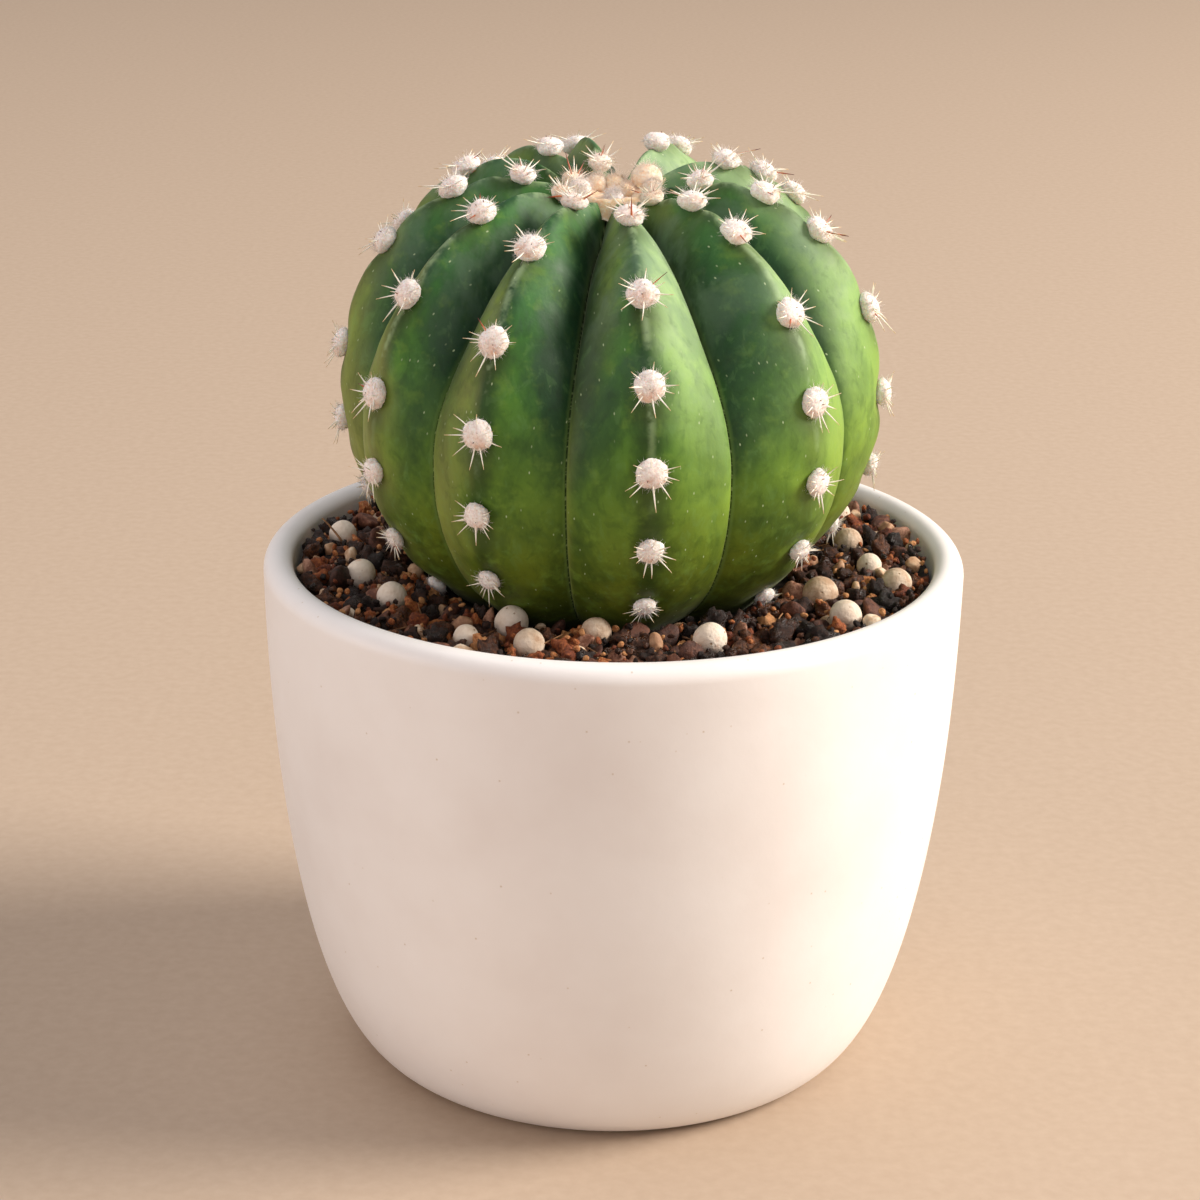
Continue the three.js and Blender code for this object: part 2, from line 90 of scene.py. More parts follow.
# inputs is a list for a node's first inputs or a dict of them: numbers, hex colours, outputs, or nodes
# for their first output. ramp holds the stops of a colour ramp, and all else is a setting.
def add_node(tree, kind, inputs=(), ramp=(), **settings):
    node = tree.nodes.new("ShaderNode" + kind)
    for name, value in settings.items():
        setattr(node, name, value)
    for name, value in inputs.items() if isinstance(inputs, dict) else enumerate(inputs):
        if isinstance(value, bpy.types.Node):
            value = value.outputs[0]
        if isinstance(value, bpy.types.NodeSocket):
            tree.links.new(value, node.inputs[name])
        else:
            node.inputs[name].default_value = linear(value) if isinstance(value, str) else value
    for i, (place, colour) in enumerate(ramp):
        stops = node.color_ramp.elements
        stop = stops[i] if i < 2 else stops.new(place)
        stop.position = place
        stop.color = linear(colour)
    return node


def end_finish(node, inputs):
    node("OutputMaterial", {"Surface": node("BsdfPrincipled", inputs)})


# One piece of the object. faces is a list of arrays, each of faces with the same number of corners,
# and marks are numbers for each corner that the finish reads.
def new_piece(name, corners, faces, finish, marks=None):
    mesh = bpy.data.meshes.new(name)
    mesh.vertices.add(len(corners))
    mesh.vertices.foreach_set("co", (np.asarray(corners, float) * MM).ravel())
    loops = np.concatenate([group.ravel() for group in faces])
    widths = np.concatenate([np.full(len(group), group.shape[1]) for group in faces])
    mesh.loops.add(len(loops))
    mesh.loops.foreach_set("vertex_index", loops.astype(np.int32))
    mesh.polygons.add(len(widths))
    mesh.polygons.foreach_set("loop_start", np.concatenate([[0], np.cumsum(widths)[:-1]]).astype(np.int32))
    mesh.polygons.foreach_set("use_smooth", np.ones(len(widths), bool))
    mesh.update(calc_edges=True)
    for mark, numbers in (marks or {}).items():
        mesh.attributes.new(mark, "FLOAT", "POINT").data.foreach_set("value", numbers.astype(np.float32))
    mesh.materials.append(finish)
    piece = bpy.data.objects.new(name, mesh)
    bpy.context.scene.collection.objects.link(piece)
    return piece


# Faces between rings of corners, each ring closed on itself.
def ring_faces(rings, sides, loops_back=False):
    ring = np.arange(rings if loops_back else rings - 1)[:, None]
    side = np.arange(sides)[None, :]
    beside = (side + 1) % sides
    above = (ring + 1) % rings
    quads = [ring * sides + side, ring * sides + beside, above * sides + beside, above * sides + side]
    return np.stack(quads, -1).reshape(-1, 4)


def turned(profile, sides):
    turn = np.linspace(0, 2 * np.pi, sides, endpoint=False)
    radius = profile[:, :1]
    height = np.broadcast_to(profile[:, 1:], (len(profile), sides))
    return np.stack([radius * np.cos(turn), radius * np.sin(turn), height], -1).reshape(-1, 3)


def arc(centre_radius, centre_height, radius, start, end, steps):
    angle = np.radians(np.linspace(start, end, steps + 1))
    return np.stack([centre_radius + radius * np.cos(angle), centre_height + radius * np.sin(angle)], -1)


# The wall's curve from foot to rim, moved inwards by a distance.
def wall_curve(steps, moved_in=0.0):
    t = np.linspace(0, 1, steps + 1)[:, None]
    ends = np.array([[FOOT_RADIUS, 0], [FOOT_RADIUS + FOOT_HANDLE, 0],
                     [RIM_RADIUS, POT_HEIGHT - WALL_HANDLE], [RIM_RADIUS, POT_HEIGHT]], float)
    place = ((1 - t) ** 3 * ends[0] + 3 * (1 - t) ** 2 * t * ends[1]
             + 3 * (1 - t) * t ** 2 * ends[2] + t ** 3 * ends[3])
    along = ((1 - t) ** 2 * (ends[1] - ends[0]) + 2 * (1 - t) * t * (ends[2] - ends[1])
             + t ** 2 * (ends[3] - ends[2]))
    along /= np.linalg.norm(along, axis=1, keepdims=True)
    return place + moved_in * np.stack([-along[:, 1], along[:, 0]], -1)


def noise_at(points, size, seed=0.0):
    scaled = np.asarray(points, float) / size + seed
    heights = [noise.noise(place) for place in scaled.reshape(-1, 3).tolist()]
    return np.reshape(heights, scaled.shape[:-1])


lip_inner_round = WALL - LIP_ROUND
outer = wall_curve(WALL_STEPS)
outer = outer[outer[:, 1] < POT_HEIGHT - LIP_ROUND - LIP_BLEND]
inner = wall_curve(WALL_STEPS, WALL)[::-1]
inner = inner[(inner[:, 1] > FLOOR + 1) & (inner[:, 1] < POT_HEIGHT - LIP_ROUND - LIP_BLEND)]
floor_edge = inner[-1, 0] - FLOOR_BEVEL
recess_ring = np.linspace(DRAIN_RADIUS, RECESS_RADIUS, FLOOR_STEPS)
floor_ring = np.linspace(floor_edge - 2, DRAIN_RADIUS, FLOOR_STEPS)
pot_profile = np.concatenate([
    np.stack([recess_ring, np.full(FLOOR_STEPS, RECESS_HEIGHT)], -1),
    [[RECESS_RADIUS + 0.3, RECESS_HEIGHT - 0.1]],
    [[RECESS_RADIUS + 0.9, 0.3]],
    [[RECESS_RADIUS + RECESS_HEIGHT, 0.05]],
    [[RECESS_RADIUS + RECESS_HEIGHT + 0.3, 0]],
    outer,
    arc(RIM_RADIUS - LIP_ROUND, POT_HEIGHT - LIP_ROUND, LIP_ROUND, 0, 90, LIP_STEPS),
    arc(RIM_RADIUS - LIP_ROUND, POT_HEIGHT - lip_inner_round, lip_inner_round, 90, 180, LIP_STEPS)[1:],
    inner,
    [[floor_edge, FLOOR]],
    np.stack([floor_ring, np.full(FLOOR_STEPS, FLOOR)], -1),
])
pot_corners = turned(pot_profile, POT_SIDES)
pot_wave = noise_at(pot_corners, 34) + 0.5 * noise_at(pot_corners, 15, 7.3)
pot_outwards = pot_corners[:, :2] / np.linalg.norm(pot_corners[:, :2], axis=1, keepdims=True)
pot_sag = CAST_UNEVENNESS * np.clip(pot_corners[:, 2:] / POT_HEIGHT, 0, 1) * (pot_wave[:, None] - 0.6)
pot_corners[:, :2] += pot_outwards * pot_sag

# Satin-glazed earthenware: a warm white glaze, opaque and a little uneven in thickness, so its sheen
# is broad and its surface has a faint orange peel. The wiped foot ring shows the buff biscuit.
GLAZE_CLOUD = 26
GLAZE_PEEL = 1.6
GLAZE_GRAIN = 0.35
PINHOLE_SPACING = 3.4
WIPED_BAND = 0.5
glaze, node, where = start_finish("satin_glazed_earthenware")
cloud = node("TexNoise", {
    "Vector": where, "Scale": 1 / (GLAZE_CLOUD * MM), "Detail": 4.0, "Roughness": 0.55})
glaze_colour = node("ValToRGB", [cloud], [(0.3, "#efeae7"), (0.55, "#f5f2f0"), (0.75, "#f8f6f5")])
pinholes = node("TexVoronoi", {"Vector": where, "Scale": 1 / (PINHOLE_SPACING * MM)})
pinhole = node("MapRange", [pinholes, 0.02, 0.06, 1.0, 0.0])
specked = node("Mix", {0: pinhole, 6: glaze_colour, 7: "#d9cdbf"}, data_type="RGBA")
height = node("SeparateXYZ", {"Vector": where})
bare = node("MapRange", [height.outputs["Z"], WIPED_BAND * MM, WIPED_BAND * 2 * MM, 1.0, 0.0])
pot_colour = node("Mix", {0: bare, 6: specked.outputs[2], 7: "#cdb79c"}, data_type="RGBA")
peel = node("TexNoise", {"Vector": where, "Scale": 1 / (GLAZE_PEEL * MM), "Detail": 2.0})
grain = node("TexNoise", {"Vector": where, "Scale": 1 / (GLAZE_GRAIN * MM), "Detail": 2.0})
satin = node("MapRange", [cloud, 0.3, 0.7, 0.4, 0.52])
rough = node("Math", [satin, bare], operation="MAXIMUM")
peel_bump = node("Bump", {"Height": peel, "Distance": 0.03 * MM, "Strength": 0.7})
glaze_bump = node("Bump", {"Height": grain, "Distance": 0.008 * MM, "Strength": 0.6, "Normal": peel_bump})
end_finish(node, {
    "Base Color": pot_colour.outputs[2], "Roughness": rough, "IOR": 1.52, "Normal": glaze_bump})

pot = new_piece("glazed_pot", pot_corners, [ring_faces(len(pot_profile), POT_SIDES, True)], glaze)
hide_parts("pot")
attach(pot, "root")


# Cactus skin: a flattened globe with 11 ribs, leaning a little to the front, with a sunken crown.
# Each rib has a soft keel and full flanks that press together in a narrow crease, and the crest
# swells a little between the pads that sit on it.
BODY_RADIUS = 37.6
BODY_ABOVE = 33.6
BODY_BELOW = 32.8
SQUARENESS_ABOVE = 2.36
SQUARENESS_BELOW = 2.02
BODY_PLACE = np.array([-0.7, -0.8, 98.1])
LEAN = math.radians(7.8)
CROWN_DEPTH = 6.2
CROWN_WIDTH = 11
CROWN_SETBACK = 4.5
# The bearing of each rib's crest, and where its upper pads sit: the length along the crest from the
# widest level. Below them the pads go on at an even pitch.
RIBS = [
    (8.4, [5.3, 16.2, 27.9, 41.4]),
    (46.6, [10.2, 21.9, 34.6, 42.6, 50]),
    (84, [2.7, 15, 27.6, 36.4, 45.2]),
    (118, [9, 19, 27, 33, 39.5]),
    (157, [2.6, 13, 23, 33, 41.5]),
    (-168, [9.5, 20, 31, 49]),
    (-143, [2.6, 14, 27, 42.5]),
    (-117, [7.5, 20, 34, 51.5]),
    (-90, [7.5, 23.5, 35.4, 45]),
    (-57, [8.6, 22.2, 36.5, 49.4]),
    (-27, [8.5, 20.2, 33.6, 46]),
]
FURROW_AT_TOP = 8.8
FURROW_AT_MIDDLE = 3.1
FURROW_AT_BASE = 1.7
FURROW_DEEPENS = (2, 27)
FURROW_FADES = (-30, -4)
FURROW_CLOSES = 11
KEEL_SHARE = 0.55
KEEL_SOFTNESS = 0.08
FLANK_BULGE = 2.8
CREASE_DEPTH = 0.09
CREASE_WIDTH = 0.2
COLUMNS_PER_RIB = 40
SKIN_ROWS = 198
CREST_STEPS = 1000
AREOLE_PITCH = 11
LOWEST_WOOL = 74.2
WOOL_RADIUS = 2.05
WOOL_STAND = 0.3
WOOL_FLATNESS = 0.66
YOUNG_WOOL = 0.8
YOUNG_LENGTHS = (37, 52)
OLD_WOOL = 0.7
OLD_LENGTHS = (-20, 10)
SEAT_DEPTH = 0.45
SEAT_WIDTH = 3.1
CREST_SWELL = 0.28
CREST_BAND = 0.4
SHADE_REACH = 1.5
SKIN_WAVE = 0.16
WAVE_LENGTH = 9
FINE_WAVE_LENGTH = 3.4
FINE_WAVE_SHARE = 0.45


def smooth(x, low, high):
    share = np.clip((x - low) / (high - low), 0, 1)
    return share * share * (3 - 2 * share)


# The crest line of the globe: radius and height for a station from -1, underneath, to 1, the crown.
def crest_point(station):
    lift = np.sin(station * np.pi / 2)
    power = np.where(lift > 0, SQUARENESS_ABOVE, SQUARENESS_BELOW)
    reach = np.where(lift > 0, BODY_ABOVE, BODY_BELOW)
    radius = BODY_RADIUS * np.maximum(1 - np.abs(lift) ** power, 0) ** (1 / power)
    hollow = np.where(lift > 0, CROWN_DEPTH * np.exp(-(radius / CROWN_WIDTH) ** 2), 0)
    return radius, reach * lift - hollow


# The way out of the globe at a station: outwards and upwards.
def crest_normal(station):
    low_radius, low_height = crest_point(np.maximum(station - 0.002, -1))
    high_radius, high_height = crest_point(np.minimum(station + 0.002, 1))
    out = high_height - low_height
    up = low_radius - high_radius
    size = np.hypot(out, up)
    return out / size, up / size


crest_stations = np.linspace(-1, 1, 2 * CREST_STEPS + 1)
crest_radii, crest_heights = crest_point(crest_stations)
crest_steps = np.hypot(np.diff(crest_radii), np.diff(crest_heights))
crest_lengths = np.concatenate([[0], np.cumsum(crest_steps)])
crest_lengths -= crest_lengths[CREST_STEPS]


def station_at(length):
    return np.interp(length, crest_lengths, crest_stations)


def furrow_depth(radius, height):
    depth = (FURROW_AT_BASE + (FURROW_AT_MIDDLE - FURROW_AT_BASE) * smooth(height, *FURROW_FADES)
             + (FURROW_AT_TOP - FURROW_AT_MIDDLE) * smooth(height, *FURROW_DEEPENS))
    return depth * smooth(radius, 0, FURROW_CLOSES)


def rib_fall(across):
    slope = np.hypot(across, KEEL_SOFTNESS) - KEEL_SOFTNESS
    flank = 1 - np.sqrt(1 - np.abs(across) ** FLANK_BULGE)
    return KEEL_SHARE * slope / (math.hypot(1, KEEL_SOFTNESS) - KEEL_SOFTNESS) + (1 - KEEL_SHARE) * flank


# A point of the skin in the plant's own frame, raised by some millimetres.
def skin_point(bearing, station, across, raised=0.0):
    radius, height = crest_point(station)
    out, up = crest_normal(station)
    fall = furrow_depth(radius, height) * rib_fall(across) - raised
    reach = np.maximum(radius - out * fall, 0)
    setback = np.where(station > 0, CROWN_SETBACK * np.sqrt(np.maximum(1 - radius / BODY_RADIUS, 0)), 0)
    angle = np.radians(bearing)
    return np.stack(np.broadcast_arrays(
        reach * np.sin(angle), setback - reach * np.cos(angle), height - up * fall), -1)


# From the plant's own frame to the pot's.
def turn_plant(vectors):
    x, y, z = np.moveaxis(np.asarray(vectors, float), -1, 0)
    lean_y = y * math.cos(LEAN) - z * math.sin(LEAN)
    return np.stack([x, lean_y, y * math.sin(LEAN) + z * math.cos(LEAN)], -1)


def on_plant(points):
    return turn_plant(points) + BODY_PLACE


# The areoles, crest by crest, from the crown down: where each sits, how it faces, and its size.
def find_areoles():
    found = []
    for rib, (bearing, upper) in enumerate(RIBS):
        lengths = upper[::-1]
        while lengths[-1] > crest_lengths[0] / 2:
            lengths.append(lengths[-1] - AREOLE_PITCH)
        for length in lengths:
            station = station_at(length)
            out, up = crest_normal(station)
            angle = math.radians(bearing)
            outwards = np.array([math.sin(angle), -math.cos(angle), 0])
            place = skin_point(bearing, station, 0)
            if on_plant(place)[2] > LOWEST_WOOL:
                old = (1 - OLD_WOOL) * (1 - smooth(length, *OLD_LENGTHS))
                young = (1 - YOUNG_WOOL) * smooth(length, *YOUNG_LENGTHS)
                found.append({
                    "rib": rib, "length": length, "place": place, "size": WOOL_RADIUS * (1 - old - young),
                    "facing": outwards * out + [0, 0, up], "down": outwards * up - [0, 0, out],
                    "youngest": length == lengths[0]})
    return found


AREOLES = find_areoles()

rib_bearings = np.array([bearing for bearing, _ in RIBS])
half_after = ((np.roll(rib_bearings, -1) - rib_bearings) % 360) / 2
half_before = np.roll(half_after, 1)
spread_out = np.sin(np.linspace(-1, 1, COLUMNS_PER_RIB, endpoint=False) * np.pi / 2)
across = np.tile(spread_out, len(RIBS))
rib_of = np.repeat(np.arange(len(RIBS)), COLUMNS_PER_RIB)
bearings = rib_bearings[rib_of] + across * np.where(across < 0, half_before[rib_of], half_after[rib_of])
row_lengths = np.linspace(crest_lengths[0], crest_lengths[-1], SKIN_ROWS + 2)[1:-1]
row_stations = station_at(row_lengths)[:, None]
skin = skin_point(bearings, row_stations, across)
row_radii, row_heights = crest_point(row_stations)
from_furrow = (1 - np.abs(across)) * np.radians(half_after[rib_of]) * row_radii

seat = np.zeros(skin.shape[:2])
shade = np.zeros(skin.shape[:2])
for areole in AREOLES:
    reach = np.linalg.norm(skin - areole["place"], axis=-1)
    seat = np.maximum(seat, np.exp(-(reach / SEAT_WIDTH) ** 2))
    shade_place = areole["place"] + areole["down"] * areole["size"] * SHADE_REACH
    below = np.linalg.norm(skin - shade_place, axis=-1)
    shade = np.maximum(shade, np.exp(-(below / (SHADE_REACH * areole["size"])) ** 2))
crest_band = np.exp(-(across / CREST_BAND) ** 2)
swelling = CREST_SWELL * crest_band * (1 - 2 * seat) - (SEAT_DEPTH - CREST_SWELL) * seat
wave = noise_at(skin, WAVE_LENGTH)
wave = wave + FINE_WAVE_SHARE * noise_at(skin * [1, 1, 1.6], FINE_WAVE_LENGTH, 5.1)
swelling = swelling + SKIN_WAVE * wave * smooth(row_radii, 1, 9)
crease = np.exp(-(from_furrow / CREASE_WIDTH) ** 2) * smooth(row_radii, 4, 12)
swelling = swelling - CREASE_DEPTH * crease
swelling = swelling * smooth(row_radii, 0, 5)
skin = skin_point(bearings, row_stations, across, swelling)

skin_corners = np.concatenate([
    skin_point(0, -1.0, 0)[None], skin.reshape(-1, 3), skin_point(0, 1.0, 0)[None]])


# Triangles that close a tube of rings, from the first ring to corner low and from the last to high.
def end_fans(rings, sides, low, high):
    side = np.arange(sides)
    beside = (side + 1) % sides
    last = (rings - 1) * sides
    return np.concatenate([np.stack([np.full(sides, low), beside, side], -1),
                           np.stack([np.full(sides, high), side + last, beside + last], -1)])


# The corner under the globe comes first, so the other corners are counted from 1.
skin_grid = ring_faces(SKIN_ROWS, len(bearings)) + 1
skin_caps = end_fans(SKIN_ROWS, len(bearings), -1, SKIN_ROWS * len(bearings)) + 1


# A mark for each corner of the skin, from a grid of rows and columns.
def skin_mark(grid, at_base=0, at_crown=0):
    return np.concatenate([[at_base], np.broadcast_to(grid, skin.shape[:2]).ravel(), [at_crown]])


def unit(vectors):
    return vectors / np.linalg.norm(vectors, axis=-1, keepdims=True)


# Painted light from the key on the right: skin that faces it is painted paler and yellower, as sunlit,
# and skin that faces left gets a painted warm bounce light of yellow olive.
SUN_WAY = unit(np.array([0.86, 0.0, 0.5]))
BOUNCE_WAY = unit(np.array([-0.97, -0.2, 0.1]))
skin_normal = unit(np.cross(np.roll(skin, -1, 1) - np.roll(skin, 1, 1), np.gradient(skin, axis=0)))
painted_sunlight = smooth(skin_normal @ SUN_WAY, 0.2, 0.95) * smooth(np.sin(np.radians(bearings)), 0.02, 0.3)
# Painted bounce light: warm light from the left painted onto the skin that faces it.
painted_bounce = smooth(skin_normal @ BOUNCE_WAY, 0.6, 1.0)
skin_marks = {
    "across": skin_mark(across),
    "level": skin_mark(row_heights, -BODY_BELOW, BODY_ABOVE),
    "round": skin_mark(across * np.radians(half_after[rib_of]) * row_radii + 60.0 * rib_of),
    "along": skin_mark(row_lengths[:, None], crest_lengths[0], crest_lengths[-1]),
    "from_furrow": skin_mark(from_furrow),
    "shade": skin_mark(shade),
    "from_keel": skin_mark(np.abs(across) * np.radians(half_after[rib_of]) * row_radii),
    "painted_sunlight": skin_mark(painted_sunlight),
    "painted_bounce": skin_mark(painted_bounce),
}

# Waxy cactus skin: a thick, smooth cuticle over green flesh. It is olive near the mix, full green
# round the middle and blue-green above, with a grey bloom of wax near the crown, pale stomata specks
# and a dark band down each keel. Painted light goes over it: painted shade in the upper furrows and
# under each pad, a painted highlight along each upper keel and beside each crease, a dark line of
# painted shade down each crease with pale beads in it, painted sunlight on skin facing the key light
# and a painted warm bounce on skin facing left.
SKIN_MOTTLE = 7.5
SKIN_BLOTCH = 2.6
SKIN_STREAK = 1.9
SPECK_SPACING = 1.0
CREASE_BEAD = 0.9
PORE_SPACING = 0.55
skin_finish, node, where = start_finish("waxy_cactus_skin")
marks = {name: node("Attribute", attribute_name=name).outputs["Fac"] for name in skin_marks}
upright = node("VectorMath", [where, (1.0, 1.0, 0.6)], operation="MULTIPLY")
mottle = node("TexNoise", {
    "Vector": upright, "Scale": 1 / (SKIN_MOTTLE * MM), "Detail": 4.0, "Roughness": 0.6, "Distortion": 0.3})
blotch = node("TexNoise", {
    "Vector": where, "Scale": 1 / (SKIN_BLOTCH * MM), "Detail": 3.0, "Roughness": 0.6})
streak = node("TexNoise", {
    "Vector": upright, "Scale": 1 / (SKIN_STREAK * MM), "Detail": 3.0, "Roughness": 0.65, "Distortion": 0.5})
level_share = node("MapRange", [marks["level"], -BODY_BELOW, BODY_ABOVE])
wander = node("Math", [mottle, 0.3, level_share], operation="MULTIPLY_ADD")
level_place = node("Math", [wander, 0.15], operation="SUBTRACT")
green = node("ValToRGB", [level_place], [
    (0.05, "#5c5f16"), (0.3, "#64761a"), (0.5, "#5d8322"), (0.68, "#497d28"), (0.85, "#376f31"),
    (1.0, "#457c36")])
deep = node("ValToRGB", [level_place], [
    (0.05, "#35370a"), (0.3, "#36470a"), (0.5, "#2c4b0e"), (0.68, "#1d4417"), (0.85, "#153e22"),
    (1.0, "#204e24")])
keel = node("Math", [marks["across"]], operation="ABSOLUTE")
keel_edge = node("Math", [blotch, 0.2, keel], operation="MULTIPLY_ADD")
# Each share of a layer eases between two values while what it follows runs between two others.
eased = {name: node("MapRange", rule, interpolation_type="SMOOTHSTEP") for name, rule in {
    "mottle": [mottle, 0.36, 0.64, 0.0, 0.75],
    "keel band": [keel_edge, 0.14, 0.4, 0.9, 0.0],
    "fleck": [blotch, 0.5, 0.72, 0.0, 0.34],
    # Painted shade in the furrows of the upper half, darker towards the crease.
    "furrow": [keel, 0.25, 0.9, 0.0, 0.85],
    "upper half": [marks["level"], -6.0, 20.0],
    "sun": [mottle, 0.4, 0.62, 0.95, 0.6],
    "dark streak": [streak, 0.5, 0.68, 0.0, 0.3],
    "pale streak": [streak, 0.32, 0.46, 0.16, 0.0],
    "bloom height": [marks["level"], 12.0, 30.0, 0.0, 0.3],
    "bloom patch": [mottle, 0.42, 0.64],
    # Painted highlight: a pale line along each upper keel, broken into patches.
    "keel highlight": [marks["from_keel"], 0.0, 0.9, 0.5, 0.0],
    "keel highlight patches": [blotch, 0.42, 0.6],
    # Painted highlight on the flanks beside each crease.
    "furrow edge highlight": [marks["from_furrow"], 0.12, 0.6, 0.3, 0.0],
    # Painted shade down each crease, with pale beads along it.
    "crease": [marks["from_furrow"], 0.05, 0.17, 0.75, 0.0],
}.items()}
dark_share = node("Math", [eased["mottle"], eased["keel band"]], operation="MAXIMUM")
# Painted sunlight: paler, yellower greens for the skin that faces the key light.
painted_sunlit_green = node("ValToRGB", [level_place], [
    (0.2, "#76871f"), (0.45, "#88a83c"), (0.7, "#8fb560"), (0.95, "#a5c08e")])
speck_place = node("CombineXYZ", {"X": marks["round"], "Y": marks["along"]})
speck_stretch = node("VectorMath", [speck_place, (1.0, 0.45, 1.0)], operation="MULTIPLY")
specks = node("TexVoronoi", {"Vector": speck_stretch, "Scale": 1 / SPECK_SPACING}, voronoi_dimensions="2D")
speck_dot = node("MapRange", [specks, 0.04, 0.11, 1.0, 0.0])
speck_pick = node("SeparateColor", {"Color": specks.outputs["Color"]})
speck_kept = node("Math", [speck_pick, 0.86], operation="GREATER_THAN")
speck_share = node("Math", [speck_dot, speck_kept], operation="MULTIPLY")
painted_keel_highlight = node("Math", [eased["keel highlight"], eased["keel highlight patches"]], operation="MULTIPLY")
bead_place = node("CombineXYZ", {"Y": marks["along"]})
bead = node("TexNoise", {
    "Vector": bead_place, "Scale": 1 / CREASE_BEAD, "Detail": 2.0, "Roughness": 0.7}, noise_dimensions="2D")
# Dark painted shade in the crease, with pale beads.
crease_shade_and_beads = node("ValToRGB", [bead], [(0.42, "#1c3612"), (0.52, "#38561f"), (0.62, "#a9bd85")])
# The layers from the flesh up: a layer's share, what else weakens it, its colour and, for one that
# darkens, how it goes over the rest.
skin_colour = green
for share, weaker, tint, *blend in (
        (dark_share, None, deep), (eased["fleck"], None, "#7c9f3a"), (marks["painted_bounce"], 0.45, "#a2a353"),
        (eased["furrow"], eased["upper half"], "#0f3320"), (eased["sun"], marks["painted_sunlight"], painted_sunlit_green),
        (eased["dark streak"], None, "#7c9a72", "MULTIPLY"), (eased["pale streak"], None, "#6f9c5a"),
        (eased["bloom height"], eased["bloom patch"], "#86a485"), (marks["shade"], 0.65, "#3a4a12"),
        (speck_share, speck_pick.outputs["Green"], "#b9cba0"),
        (painted_keel_highlight, eased["upper half"], "#9db58b"), (eased["furrow edge highlight"], None, "#86a35e"),
        (eased["crease"], None, crease_shade_and_beads)):
    if weaker is not None:
        share = node("Math", [share, weaker], operation="MULTIPLY")
    blend_type = blend[0] if blend else "MIX"
    layer = node("Mix", {0: share, 6: skin_colour, 7: tint}, data_type="RGBA", blend_type=blend_type)
    skin_colour = layer.outputs[2]
wax = node("MapRange", [blotch, 0.3, 0.7, 0.5, 0.64])
pores = node("TexNoise", {"Vector": where, "Scale": 1 / (PORE_SPACING * MM), "Detail": 2.0})
blotch_bump = node("Bump", {"Height": blotch, "Distance": 0.12 * MM, "Strength": 0.6})
pore_bump = node("Bump", {"Height": pores, "Distance": 0.03 * MM, "Strength": 0.5, "Normal": blotch_bump})
end_finish(node, {
    "Base Color": skin_colour, "Roughness": wax, "IOR": 1.38, "Normal": pore_bump,
    "Sheen Weight": 0.1, "Sheen Roughness": 0.25, "Sheen Tint": "#dfe6cc", "Subsurface Weight": 0.1,
    "Subsurface Radius": (0.9, 1.2, 0.3), "Subsurface Scale": 1.5 * MM})

globe = new_piece("cactus_skin", on_plant(skin_corners), [skin_grid, skin_caps], skin_finish, skin_marks)
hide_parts("cactus")
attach(globe, "root")


# Root: one tapering taproot under the globe, with a corky brown bark. It grows in the mix, so it
# only shows when the plant is lifted out.
ROOT_RADIUS = 9
ROOT_TIP_RADIUS = 1.6
ROOT_TOP = -29
ROOT_TIP = -64
ROOT_SIDES = 48
ROOT_RINGS = 40
ROOT_KNOT = 2.5
ROOT_UNEVENNESS = 0.12


# A dull finish with one grain: its size, detail and harshness, how deep it is, how rough the surface
# is and the colours from its hollows up. tone_shift is how far a shape's own tone moves the colour.
def grainy_finish(name, grain, detail, harshness, depth, roughness, ramp, tone_shift=0):
    finish, node, where = start_finish(name)
    lumps = node("TexNoise", {
        "Vector": where, "Scale": 1 / (grain * MM), "Detail": detail, "Roughness": harshness})
    place = lumps
    if tone_shift:
        tone_mark = node("Attribute", attribute_name="tone").outputs["Fac"]
        place = node("Math", [tone_mark, tone_shift, lumps], operation="MULTIPLY_ADD")
    bump = node("Bump", {"Height": lumps, "Distance": depth * MM})
    colour = node("ValToRGB", [place], ramp)
    end_finish(node, {"Base Color": colour, "Roughness": roughness, "Normal": bump})
    return finish


def root_width(level):
    levels = [ROOT_TIP, ROOT_TIP + 1.5, (ROOT_TIP + ROOT_TOP) / 2, ROOT_TOP]
    return np.interp(level, levels, [0.4, ROOT_TIP_RADIUS, ROOT_RADIUS * 0.55, ROOT_RADIUS])


cork = grainy_finish("corky_root_bark", grain=1.8, detail=5, harshness=0.5, depth=0.4, roughness=0.9, ramp=[
    (0.3, "#4b3524"), (0.7, "#8a6a48")])
root_level = np.linspace(ROOT_TIP, ROOT_TOP, ROOT_RINGS)
root_rings = turned(np.stack([root_width(root_level), root_level], -1), ROOT_SIDES)
root_rings[:, :2] *= 1 - ROOT_UNEVENNESS * np.abs(noise_at(root_rings, ROOT_KNOT))[:, None]
root_corners = np.concatenate([root_rings, [[0, 0, ROOT_TIP], [0, 0, ROOT_TOP]]])
root_caps = end_fans(ROOT_RINGS, ROOT_SIDES, len(root_rings), len(root_rings) + 1)
root = new_piece("taproot", on_plant(root_corners), [ring_faces(ROOT_RINGS, ROOT_SIDES), root_caps], cork)
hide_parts("cactus")
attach(root, "root")


# Areole wool: a felted dome of short white hair on each areole, about 4 mm across. It is pinkish
# white on grown pads and cream on the youngest, with fine hairs standing out of it.
PAD_LUMPS = [(0.14, 1.5, 0), (0.08, 0.42, 3.1), (0.05, 0.2, 6.4)]
TOP_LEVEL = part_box("cactus")[1][2] / MM - 0.4
PAD_SEED = 17.3
FELT_GRAIN = 0.36
TUFT_GRAIN = 1.5
HAIRS_PER_PAD = (160, 225)
HAIR_LENGTHS = (0.4, 0.95)
HAIR_RADIUS = 0.032
HAIR_ROOTING = 0.92


